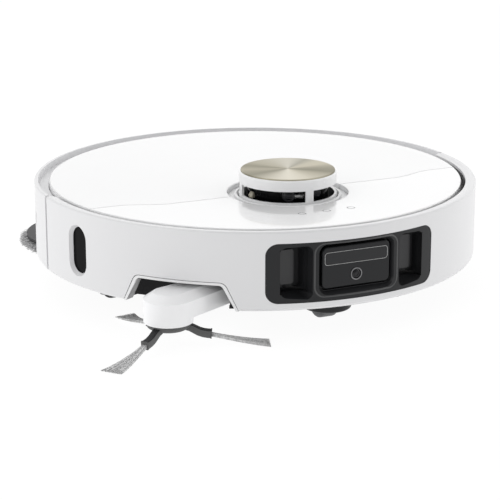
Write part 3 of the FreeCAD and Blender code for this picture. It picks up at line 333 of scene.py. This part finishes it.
LIGHT_COVER = moulded("light_cover", (0.0135, 0.014, 0.0155), (0.019, 0.0195, 0.021), 0.22,
                      specular=0.36)
SENSOR = moulded("sensor_glass", (0.030, 0.030, 0.032), (0.044, 0.044, 0.047), 0.2,
                 specular=0.5)
BEIGE = moulded("beige_plastic", (0.42, 0.39, 0.31), (0.50, 0.47, 0.38), 0.5)

LOOKS = {
    "chassis_base": CHASSIS, "rear_shell": WHITE_SHELL, "top_deck": WHITE_PART,
    "front_panel": WHITE_GLASSY, "turret_well": WHITE_PART, "lidar_base": BAY_BLACK,
    "brush_housing": CHASSIS, "suction_duct": CHASSIS,
    "brush_guard": BAY_BLACK, "gear_cases": GREY_CASE, "battery_pack": BATTERY,
    "main_board": BOARD, "fan_housing": FAN, "water_tank": TANK, "water_inlet": RUBBER,
    "cliff_sensors": BLACK_GLOSS, "dock_contacts": CONTACT,
    "bumper_skirt": WHITE_SHELL, "arm_bay_trim": WHITE_PART, "side_window": BLACK_GLOSS,
    "sensor_bay": BAY_BLACK, "camera_panel": PANEL_BLACK, "light_bar": LIGHT_COVER,
    "camera_ring": RING_METAL, "camera_lens": LENS, "laser_windows": SENSOR,
    "rear_lid": WHITE_LID, "turret_cap": WHITE_TURRET, "turret_disc": GOLD,
    "lidar_rotor": BLACK_GLOSS, "lidar_lens": LENS,
    "button_right": WHITE_GLASSY, "button_middle": WHITE_GLASSY, "button_left": WHITE_GLASSY,
    "suspension_right": GREY_CASE, "suspension_left": GREY_CASE,
    "wheel_hub_right": HUB_GREY, "wheel_hub_left": HUB_GREY,
    "tyre_right": TYRE, "tyre_left": TYRE,
    "caster_fork": BAY_BLACK, "caster_wheel": HUB_GREY,
    "main_brush_core": HUB_GREY, "main_brush_fins": RUBBER,
    "side_brush_arm": WHITE_ARM_PAINTED_LIGHT, "side_brush_hub": RUBBER,
    "rear_floor": CHASSIS, "chassis_wall": CHASSIS, "bay_shells": CHASSIS,
    "side_brush_bristles": BRISTLE,
    "mop_shaft_left": STEEL, "mop_shaft_right": STEEL, "mop_arm_right": MOP_PLATE,
    "mop_plate_left": MOP_PLATE, "mop_plate_right": MOP_PLATE,
    "mop_pad_left": MOP_CLOTH, "mop_pad_right": MOP_CLOTH,
    "suction_impeller": FAN, "dustbin": SMOKE, "bin_filter": FILTER,
}


def dress_nodes():
    """Gives every CAD piece its material."""
    for name, obj in NODES.items():
        obj.data.materials.clear()
        obj.data.materials.append(LOOKS[name])


# ---- mesh helpers ---------------------------------------------------------------
def make_object(name, mesh_data, mat, body, smooth=True):
    mesh = bpy.data.meshes.new(name)
    mesh_data.to_mesh(mesh)
    mesh_data.free()
    obj = bpy.data.objects.new(name, mesh)
    bpy.context.scene.collection.objects.link(obj)
    obj.data.materials.append(mat)
    for face in mesh.polygons:
        face.use_smooth = smooth
    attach(obj, body)
    return obj


def skin(bm, rings, joined=False):
    """Faces between neighbouring rings of vertices; joined links the last to the first."""
    pairs = list(zip(rings, rings[1:]))
    if joined:
        pairs.append((rings[-1], rings[0]))
    for one, two in pairs:
        count = len(one)
        for k in range(count):
            bm.faces.new((one[k], one[(k + 1) % count], two[(k + 1) % count], two[k]))


def face_outwards(bm):
    bmesh.ops.recalc_face_normals(bm, faces=bm.faces)


def circle(sides):
    """The angles of evenly spaced points round a circle."""
    return [2 * math.pi * k / sides for k in range(sides)]


def tube_along(bm, path, radii, sides=4, roll=0.0):
    """A closed tube through the points, with one radius for each."""
    rings = []
    for i, p in enumerate(path):
        ahead = path[min(i + 1, len(path) - 1)]
        behind = path[max(i - 1, 0)]
        along = (ahead - behind).normalized()
        side = along.cross(Vector((0, 0, 1)))
        if side.length < 1e-6:
            side = Vector((1, 0, 0))
        side.normalize()
        up = side.cross(along)
        ring = []
        for k in range(sides):
            a = roll + 2 * math.pi * k / sides
            ring.append(bm.verts.new(p + (side * math.cos(a) + up * math.sin(a)) * radii[i]))
        rings.append(ring)
    skin(bm, rings)
    bm.faces.new(rings[0][::-1])
    bm.faces.new(rings[-1])


def placed(bm, points):
    """Vertices at points given in millimetres."""
    return [bm.verts.new(Vector(p) * MM) for p in points]


def loft(bm, rings):
    """A solid through rings of points of equal length, capped at both ends."""
    made = [placed(bm, ring) for ring in rings]
    skin(bm, made)
    bm.faces.new(made[0][::-1])
    bm.faces.new(made[-1])


def rounded_section(half_w, half_h, corner, steps=4):
    """Points round a rounded rectangle in its own plane."""
    points = []
    for quarter, (sx, sy) in enumerate(((1, 1), (-1, 1), (-1, -1), (1, -1))):
        for k in range(steps + 1):
            a = math.radians(90 * quarter + 90 * k / steps)
            points.append((sx * (half_w - corner) + corner * math.cos(a),
                           sy * (half_h - corner) + corner * math.sin(a)))
    return points


def spun(bm, centre, profile, sides=64):
    """A solid of revolution; profile is (radius, height) from its low pole to its high one."""
    rings = []
    for r, h in profile:
        ring = []
        for a in circle(sides):
            ring.append((centre[0] + max(r, 0.01) * math.cos(a),
                         centre[1] + max(r, 0.01) * math.sin(a), centre[2] + h))
        rings.append(ring)
    loft(bm, rings)


def soften(obj, width, segments=2, angle=40.0):
    """Rounds the crisp edges of a piece."""
    bevel = obj.modifiers.new("soft_edges", "BEVEL")
    bevel.width = width * MM
    bevel.segments = segments
    bevel.limit_method = "ANGLE"
    bevel.angle_limit = math.radians(angle)


# ---- side brush ------------------------------------------------------------------
HUB = Vector((-0.1306, -0.1323, 0.0))
BLADE_ANGLES = (214.5, 334.5, 94.5)
SLEEVE_END = 31.0
BLADE_REACH = 73.6
STRANDS = 230
STRAND_R, STRAND_TIP_R = 0.17, 0.07


def bristle_bundle(bm, angle, seed):
    """One fan of nylon strands, dense at the sleeve and spread at the tips."""
    rng = random.Random(seed)
    turn = Matrix.Rotation(math.radians(angle), 4, "Z")
    for n in range(STRANDS):
        across = (n + 0.5) / STRANDS * 2 - 1 + rng.uniform(-0.03, 0.03)
        layer = rng.uniform(-1, 1)
        reach = BLADE_REACH - 0.7 * (across + 1) + rng.uniform(-0.6, 0.0)
        path = []
        for i in range(9):
            t = i / 8
            r = (SLEEVE_END - 2.5) * (1 - t) + reach * t
            half = 1.6 + 6.7 * t ** 1.35
            y = across * half + 0.56 * math.sin(t * math.pi)
            z = 6.4 * (1 - t) ** 1.5 + 2.0 + layer * (0.8 * (1 - t) + 0.45)
            path.append(HUB + turn @ (Vector((r, y, max(z - 0.6 * t, 1.25))) * MM))
        radii = [STRAND_R * MM] * 8 + [STRAND_TIP_R * MM]
        tube_along(bm, path, radii, 3, rng.uniform(0, 2))


def side_brush_strands():
    bm = bmesh.new()
    for i, a in enumerate(BLADE_ANGLES):
        bristle_bundle(bm, a, 11 + i)
    obj = make_object("side_brush_strands", bm, BRISTLE, "side_brush")
    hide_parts("side_brush_bristles")


# Along a sleeve: distance from the hub's axis, height of the middle, half width, half height.
SLEEVE_SHAPE = ((6.0, 14.6, 2.9, 2.4), (11.5, 14.4, 2.9, 2.5), (15.5, 13.4, 2.8, 2.6),
                (18.6, 11.8, 2.8, 2.7), (21.6, 10.2, 2.8, 2.8), (25.0, 9.1, 2.8, 2.9),
                (28.4, 8.6, 2.8, 2.95), (30.2, 8.45, 2.8, 2.95), (30.3, 8.45, 3.1, 3.2),
                (31.0, 8.4, 3.1, 3.2))


def side_brush_rubber():
    """The turning disc under the arm with its three curved sleeves and their grip ribs."""
    bm = bmesh.new()
    spun(bm, (HUB.x / MM, HUB.y / MM, 0.0), (
        (0.0, 12.2), (9.0, 12.2), (13.4, 12.9), (15.3, 14.2), (15.8, 15.6), (15.8, 17.2),
        (9.0, 17.4), (3.0, 17.4), (3.0, 28.8), (0.0, 28.8)))
    for angle in BLADE_ANGLES:
        turn = Matrix.Rotation(math.radians(angle), 4, "Z")
        rings = []
        for i, (r, z, w, h) in enumerate(SLEEVE_SHAPE):
            ahead = SLEEVE_SHAPE[min(i + 1, len(SLEEVE_SHAPE) - 1)]
            back = SLEEVE_SHAPE[max(i - 1, 0)]
            lean = math.atan2(ahead[1] - back[1], ahead[0] - back[0])
            ring = []
            for u, v in rounded_section(w, h, 0.8):
                p = Vector((r - v * math.sin(lean), u, z + v * math.cos(lean)))
                ring.append(tuple(HUB / MM + turn @ p))
            rings.append(ring)
        loft(bm, rings)
        for k in range(4):
            r = 12.5 + 4.2 * k
            z = 14.4 - 0.36 * max(0.0, r - 12.5) - 0.02 * k
            p = turn @ Vector((r, 0, z + 2.1))
            spun(bm, tuple(HUB / MM + p), ((0.0, -0.6), (0.55, -0.4), (0.62, 0.0), (0.4, 0.3),
                                           (0.0, 0.42)), 12)
    face_outwards(bm)
    obj = make_object("side_brush_rubber", bm, SLEEVE, "side_brush")
    soften(obj, 0.3, 2, 50.0)
    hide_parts("side_brush_hub")


# ---- mop pads ----------------------------------------------------------------------
PAD_EDGE = 57.5
# Section of the cushion: radius and height over the floor.
PAD_SHAPE = ((0.0, 1.4), (12.0, 1.0), (30.0, 0.9), (46.0, 0.9), (53.0, 1.3), (56.4, 2.5),
             (PAD_EDGE, 4.0), (56.6, 5.4), (53.6, 6.5), (51.6, 6.2), (49.6, 6.7), (30.0, 6.95),
             (12.0, 6.95), (0.0, 6.95))
PAD_SIDES = 180
FRINGE_STRANDS = 1500
FRINGE_RADII = (0.42, 0.40, 0.32, 0.12)
LOOP_ROWS = (8, 14, 20, 26, 32, 38, 44, 50)
LOOP_R = 0.6


def mop_cloth(name, node, body, seed):
    """A round microfibre pad: a crowned cushion with a ring seam, loops below and a fringe."""
    rng = random.Random(seed)
    low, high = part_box(node)
    cx, cy = (low.x + high.x) / 2 / MM, (low.y + high.y) / 2 / MM
    base, top = low.z / MM, high.z / MM
    bm = bmesh.new()
    rings = []
    for r, h in PAD_SHAPE:
        ring = []
        for a in circle(PAD_SIDES):
            puff = 1 + 0.006 * math.sin(23 * a + r) + 0.004 * math.sin(41 * a)
            lift = 0.22 * math.sin(17 * a + 0.3 * r) * (1 if 20 < r < 56 and h < 3 else 0)
            ring.append((cx + max(r, 0.02) * puff * math.cos(a),
                         cy + max(r, 0.02) * puff * math.sin(a), base + h + lift))
        rings.append(ring)
    loft(bm, rings)
    for n in range(FRINGE_STRANDS):
        a = rng.uniform(0, 2 * math.pi)
        h = rng.uniform(1.6, 6.2)
        droop = rng.uniform(-1.4, 0.8)
        reach = rng.uniform(3.0, 6.6)
        side = rng.uniform(-1.6, 1.6)
        out = Vector((math.cos(a), math.sin(a), 0))
        across = Vector((-math.sin(a), math.cos(a), 0))
        start = Vector((cx, cy, base + h)) + out * (PAD_EDGE - 2.2)
        path = []
        for i in range(4):
            t = i / 3
            p = start + out * (reach + 2.0) * t + across * side * t * t
            p.z = min(max(p.z + droop * t * t, base + 0.5), top - 0.2)
            path.append(p * MM)
        tube_along(bm, path, [r * MM for r in FRINGE_RADII], 3, rng.uniform(0, 2))
    for ring_r in LOOP_ROWS:
        count = int(ring_r * 1.9)
        for k in range(count):
            a = 2 * math.pi * (k + rng.uniform(-0.3, 0.3)) / count
            r = ring_r + rng.uniform(-1.6, 1.6)
            x, y = cx + r * math.cos(a), cy + r * math.sin(a)
            spread_a = rng.uniform(0, 2 * math.pi)
            dx, dy = 1.3 * math.cos(spread_a), 1.3 * math.sin(spread_a)
            path = [Vector((x - dx, y - dy, base + 1.5)) * MM,
                    Vector((x - dx * 0.5, y - dy * 0.5, base + 0.75)) * MM,
                    Vector((x + dx * 0.5, y + dy * 0.5, base + 0.75)) * MM,
                    Vector((x + dx, y + dy, base + 1.5)) * MM]
            tube_along(bm, path, [LOOP_R * MM] * 4, 5)
    face_outwards(bm)
    obj = make_object(name, bm, MOP_CLOTH, body)
    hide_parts(node)


# ---- front bay ---------------------------------------------------------------------
def loop_on_front(half_w, z0, z1, corner, depth, steps=8):
    """A rounded rectangle seen from the front; depth gives each point's y from its x."""
    middle = (z0 + z1) / 2
    points = []
    for u, v in rounded_section(half_w, (z1 - z0) / 2, corner, steps):
        points.append((u, v + middle))
    loop = []
    for (ax, az), (bx, bz) in zip(points, points[1:] + points[:1]):
        parts = max(1, int(math.hypot(bx - ax, bz - az) / 3.0))
        for k in range(parts):
            x = ax + (bx - ax) * k / parts
            z = az + (bz - az) * k / parts
            loop.append(Vector((x, depth(x), z)))
    return loop


def ring_tube(bm, loop, radius, sides=8):
    """A closed tube round a loop of points."""
    rings = []
    count = len(loop)
    for i, p in enumerate(loop):
        along = (loop[(i + 1) % count] - loop[i - 1]).normalized()
        out = Vector((0, -1, 0))
        side = along.cross(out).normalized()
        up = side.cross(along).normalized()
        ring = []
        for a in circle(sides):
            q = p + (side * math.cos(a) + up * math.sin(a)) * radius
            ring.append(bm.verts.new(q * MM))
        rings.append(ring)
    skin(bm, rings, joined=True)
    face_outwards(bm)


def bay_rim():
    """The raised lip round the hollow that the camera block sits in; its lighter black is partly
    a painted highlight.
    """
    low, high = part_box("camera_panel")
    bm = bmesh.new()
    loop = loop_on_front(33.4, low.z / MM - 5.0, high.z / MM + 3.6, 7.5,
                         lambda x: -math.sqrt(174.05 ** 2 - x * x))
    ring_tube(bm, loop, 0.9)
    make_object("bay_rim", bm, RIM_BLACK_PAINTED_HIGHLIGHT, "bumper")


def light_outline():
    """A fine light line round the lamp strip, just in front of its face: a painted highlight
    along the strip's edge.
    """
    low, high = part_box("light_bar")
    bm = bmesh.new()
    face = low.y / MM
    loop = loop_on_front(high.x / MM + 0.1, low.z / MM - 0.1, high.z / MM + 0.1, 2.3,
                         lambda x: face - 0.02)
    ring_tube(bm, loop, 0.24, 6)
    make_object("light_outline", bm, LINE_PAINTED_HIGHLIGHT, "bumper")


def lens_inner():
    """Two stepped rings of the barrel inside the camera's ring."""
    low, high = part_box("camera_lens")
    centre = ((low.x + high.x) / 2 / MM, (low.z + high.z) / 2 / MM)
    front = low.y / MM
    bm = bmesh.new()
    for inner, outer, y in ((1.3, 1.75, 0.12), (2.5, 2.8, 0.10)):
        rings = []
        for r, d in ((inner, 0.0), (inner, -y), (outer, -y), (outer, 0.0)):
            ring = [(centre[0] + r * math.cos(a), front + d, centre[1] + r * math.sin(a))
                    for a in circle(40)]
            rings.append(placed(bm, ring))
        skin(bm, rings, joined=True)
    face_outwards(bm)
    make_object("lens_inner_rings", bm, BAY_BLACK, "bumper")


# The wall inside the arm's opening: turn of the opening from the front, half width at the
# bottom, how much narrower per mm of height, height of the bottom, and radius of the front edge.
CHEEK_TURN = 226.3 - 270.0
CHEEK_LOW_HALF = 42.2
CHEEK_SLOPE = 0.478
CHEEK_BOTTOM = 24.6
CHEEK_R = 174.3


def arm_bay_cheek():
    """The inner wall of the arm's opening, on the side away from the camera block; its grey is
    painted shade, standing for the white trim's inner side in shadow.
    """
    swing = Matrix.Rotation(math.radians(CHEEK_TURN), 3, "Z")
    rings = []
    for rise in (0.0, 4.0, 8.0, 12.0, 15.5, 18.4):
        h = CHEEK_BOTTOM + rise
        edge = CHEEK_LOW_HALF - CHEEK_SLOPE * rise
        front = -math.sqrt(CHEEK_R ** 2 - edge ** 2)
        ring = []
        for x, y in ((-edge, front), (-edge + 2.2, front + 7.0), (-edge + 1.0, front + 7.4),
                     (-edge - 1.2, front + 0.4)):
            ring.append(swing @ Vector((x, y, h)))
        rings.append(ring)
    bm = bmesh.new()
    loft(bm, rings)
    face_outwards(bm)
    make_object("arm_bay_cheek", bm, CHEEK_PAINTED_SHADE, "bumper")


# Section of the ring round a key: radius and height over its seat, 0.03 mm under the top.
KEY_RING_SHAPE = ((2.2, 0.02), (2.25, 0.05), (2.6, 0.05), (2.65, 0.02))


def button_rings():
    """The fine ring printed round the top of each key."""
    for side in ("right", "middle", "left"):
        low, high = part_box("button_" + side)
        cx, cy = (low.x + high.x) / 2 / MM, (low.y + high.y) / 2 / MM
        bm = bmesh.new()
        rings = []
        for r, h in KEY_RING_SHAPE:
            ring = [(cx + r * math.cos(a), cy + r * math.sin(a), high.z / MM - 0.03 + h)
                    for a in circle(48)]
            rings.append(placed(bm, ring))
        skin(bm, rings, joined=True)
        face_outwards(bm)
        make_object("key_ring_" + side, bm, GREY_CASE, "key_" + side)


# ---- laser head ----------------------------------------------------------------------
TURRET = Vector((0.0, -59.0, 0.0))
EYE_ANGLE = 244.6


def on_head(angle, radius, height):
    """A point on the spinning head, by its angle round the turret's axis."""
    a = math.radians(angle)
    return Vector((TURRET.x + radius * math.cos(a), TURRET.y + radius * math.sin(a), height))


def lidar_eye():
    """The receiver's round glass in its bezel, on the spinning head."""
    bm = bmesh.new()
    axis = (on_head(EYE_ANGLE, 1, 0) - on_head(EYE_ANGLE, 0, 0)).normalized()
    side = axis.cross(Vector((0, 0, 1)))
    centre = on_head(EYE_ANGLE, 0, 87.2)
    rings = []
    for r, out in ((4.9, 26.0), (4.9, 33.2), (4.3, 33.6), (4.0, 32.8), (3.2, 33.3),
                   (1.8, 33.8), (0.02, 33.95)):
        ring = []
        for a in circle(48):
            p = centre + axis * out + side * (r * math.cos(a))
            p.z += r * math.sin(a)
            ring.append(tuple(p))
        rings.append(ring)
    loft(bm, rings)
    face_outwards(bm)
    make_object("lidar_eye", bm, LENS, "rotor")


def lidar_emitter():
    """The silver emitter barrel beside the glass, and the pale counterweight behind."""
    bm = bmesh.new()
    rings = []
    for turn, r in ((252.5, 1.2), (253.2, 1.9), (259.5, 1.9), (259.8, 2.2), (264.5, 2.2),
                    (265.2, 1.6)):
        ring = []
        for a in circle(24):
            p = on_head(turn, 32.0 + r * math.cos(a), 86.6 + r * math.sin(a))
            ring.append(tuple(p))
        rings.append(ring)
    loft(bm, rings)
    face_outwards(bm)
    make_object("lidar_emitter", bm, EMITTER, "rotor")
    block = bmesh.new()
    rings = []
    for h, grow in ((81.8, 0.0), (83.6, 0.0), (85.4, -1.0), (86.2, -1.6)):
        ring = []
        for turn, r in ((180.0 - grow, 28.0), (190.0 + grow, 28.0), (190.0 + grow, 33.4 + grow),
                        (185.0, 33.8 + grow), (180.0 - grow, 33.4 + grow)):
            ring.append(tuple(on_head(turn, r, h)))
        rings.append(ring)
    loft(block, rings)
    face_outwards(block)
    weight = make_object("lidar_weight", block, BEIGE, "rotor", smooth=False)
    soften(weight, 0.4)


# ---- underside -----------------------------------------------------------------------
SCREW_SPOTS = ((-60, -100), (52, -138), (75, -100), (75, 8), (-75, 8), (-145, -40),
               (145, -40), (36, 8))


def underside_screws():
    """Countersunk cross-head screws that hold the bottom cover."""
    bm = bmesh.new()
    floor_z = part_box("chassis_base")[0].z / MM
    for x, y in SCREW_SPOTS:
        spun(bm, (x, y, floor_z), ((0.0, -0.5), (2.2, -0.5), (3.0, -0.2), (3.2, 0.2), (0.0, 0.4)),
             24)
        for turn in (0, 90):
            a = math.radians(turn + 20)
            along = Vector((math.cos(a), math.sin(a), 0))
            start = Vector((x, y, floor_z - 0.45))
            tube_along(bm, [(start - along * 1.7) * MM, (start + along * 1.7) * MM],
                       [0.32 * MM] * 2, 6)
    face_outwards(bm)
    make_object("underside_screws", bm, STEEL, "base")


# ---- studio -----------------------------------------------------------------------
CAMERA_AZIMUTH, CAMERA_ELEVATION = -25.24, 15.16
CAMERA_DISTANCE = 1.446284
CAMERA_SENSOR, CAMERA_LENS = 36.0, 129.53232


def camera():
    azimuth, elevation = math.radians(CAMERA_AZIMUTH), math.radians(CAMERA_ELEVATION)
    back = Vector((math.sin(azimuth) * math.cos(elevation),
                   -math.cos(azimuth) * math.cos(elevation), math.sin(elevation)))
    centre = Vector((0, 0, 0.045))
    place = centre + back * CAMERA_DISTANCE
    right = (-back).cross(Vector((0, 0, 1))).normalized()
    target = centre - right * 0.003986 - Vector((0, 0, 0.025084))
    data = bpy.data.cameras.new("camera")
    data.sensor_width = CAMERA_SENSOR
    data.lens = CAMERA_LENS
    data.clip_start = 0.05
    cam = bpy.data.objects.new("camera", data)
    cam.location = place
    cam.rotation_euler = (target - place).to_track_quat("-Z", "Y").to_euler()
    bpy.context.scene.collection.objects.link(cam)
    bpy.context.scene.camera = cam


def area_light(name, place, look_at, size, power):
    data = bpy.data.lights.new(name, "AREA")
    data.shape = "RECTANGLE"
    data.size, data.size_y = size
    data.energy = power
    lamp = bpy.data.objects.new(name, data)
    lamp.location = place
    lamp.rotation_euler = (Vector(look_at) - Vector(place)).to_track_quat("-Z", "Y").to_euler()
    bpy.context.scene.collection.objects.link(lamp)


def lobe(tree, direction, normal, strength, power):
    """A soft glow centred on one direction of the surroundings."""
    dot = tree.nodes.new("ShaderNodeVectorMath")
    dot.operation = "DOT_PRODUCT"
    tree.links.new(direction, dot.inputs[0])
    dot.inputs[1].default_value = Vector(normal).normalized()
    keep = tree.nodes.new("ShaderNodeMath")
    keep.operation = "MAXIMUM"
    tree.links.new(dot.outputs["Value"], keep.inputs[0])
    keep.inputs[1].default_value = 0.0
    sharp = tree.nodes.new("ShaderNodeMath")
    sharp.operation = "POWER"
    tree.links.new(keep.outputs["Value"], sharp.inputs[0])
    sharp.inputs[1].default_value = power
    scale = tree.nodes.new("ShaderNodeMath")
    scale.operation = "MULTIPLY"
    tree.links.new(sharp.outputs["Value"], scale.inputs[0])
    scale.inputs[1].default_value = strength
    return scale.outputs["Value"]


# The surroundings: where each glow is, how strong, and how tight.
GLOWS = (((0.41, 0.87, 0.26), 1.02, 3.0), ((-0.93, 0.28, 0.22), 1.26, 3.0),
         ((0.96, -0.20, 0.22), 1.08, 3.0), ((0.0, 0.0, 1.0), 0.24, 2.0))
AMBIENT = 0.25


def surroundings():
    world = bpy.data.worlds.new("studio_world")
    world.use_nodes = True
    tree = world.node_tree
    where = tree.nodes.new("ShaderNodeTexCoord")
    total = None
    for normal, strength, power in GLOWS:
        glow = lobe(tree, where.outputs["Generated"], normal, strength, power)
        add = tree.nodes.new("ShaderNodeMath")
        add.operation = "ADD"
        tree.links.new(glow, add.inputs[0])
        if total is None:
            add.inputs[1].default_value = AMBIENT
        else:
            tree.links.new(total, add.inputs[1])
        total = add.outputs["Value"]
    back = next(n for n in tree.nodes if n.type == "BACKGROUND")
    tree.links.new(total, back.inputs["Strength"])
    back.inputs["Color"].default_value = (1, 1, 1, 1)
    bpy.context.scene.world = world


FLOOR_HALF = 6.0
FLOOR_DROP = 0.0005


def studio():
    mesh = bpy.data.meshes.new("studio_floor")
    s = FLOOR_HALF
    mesh.from_pydata([(-s, -s, 0), (s, -s, 0), (s, s, 0), (-s, s, 0)], [], [(0, 1, 2, 3)])
    floor = bpy.data.objects.new("studio_floor", mesh)
    floor.location.z = CAD_BOX[0].z - FLOOR_DROP
    bpy.context.scene.collection.objects.link(floor)
    mat, tree, shader = material("studio_floor")
    shader.inputs["Base Color"].default_value = (0.08, 0.08, 0.08, 1)
    shader.inputs["Roughness"].default_value = 0.9
    shader.inputs["Specular IOR Level"].default_value = 0.0
    shader.inputs["Emission Color"].default_value = (1, 1, 1, 1)
    shader.inputs["Emission Strength"].default_value = 0.95
    mesh.materials.append(mat)
    surroundings()
    area_light("key_top", (-0.2, 0.5, 1.6), (0, 0, 0.08), (0.9, 0.9), 2.0)
    area_light("left_strip", (-1.3, -0.5, 0.55), (0, 0, 0.05), (0.35, 0.8), 1.8)
    area_light("right_strip", (1.2, -1.0, 0.5), (0, 0, 0.05), (0.4, 0.8), 2.0)
    view = bpy.context.scene.view_settings
    view.view_transform = "Standard"
    view.look = "None"


dress_nodes()
side_brush_strands()
side_brush_rubber()
mop_cloth("mop_cloth_left", "mop_pad_left", "mop_left", 5)
mop_cloth("mop_cloth_right", "mop_pad_right", "mop_right", 6)
bay_rim()
light_outline()
lens_inner()
button_rings()
arm_bay_cheek()
lidar_eye()
lidar_emitter()
underside_screws()
camera()
studio()
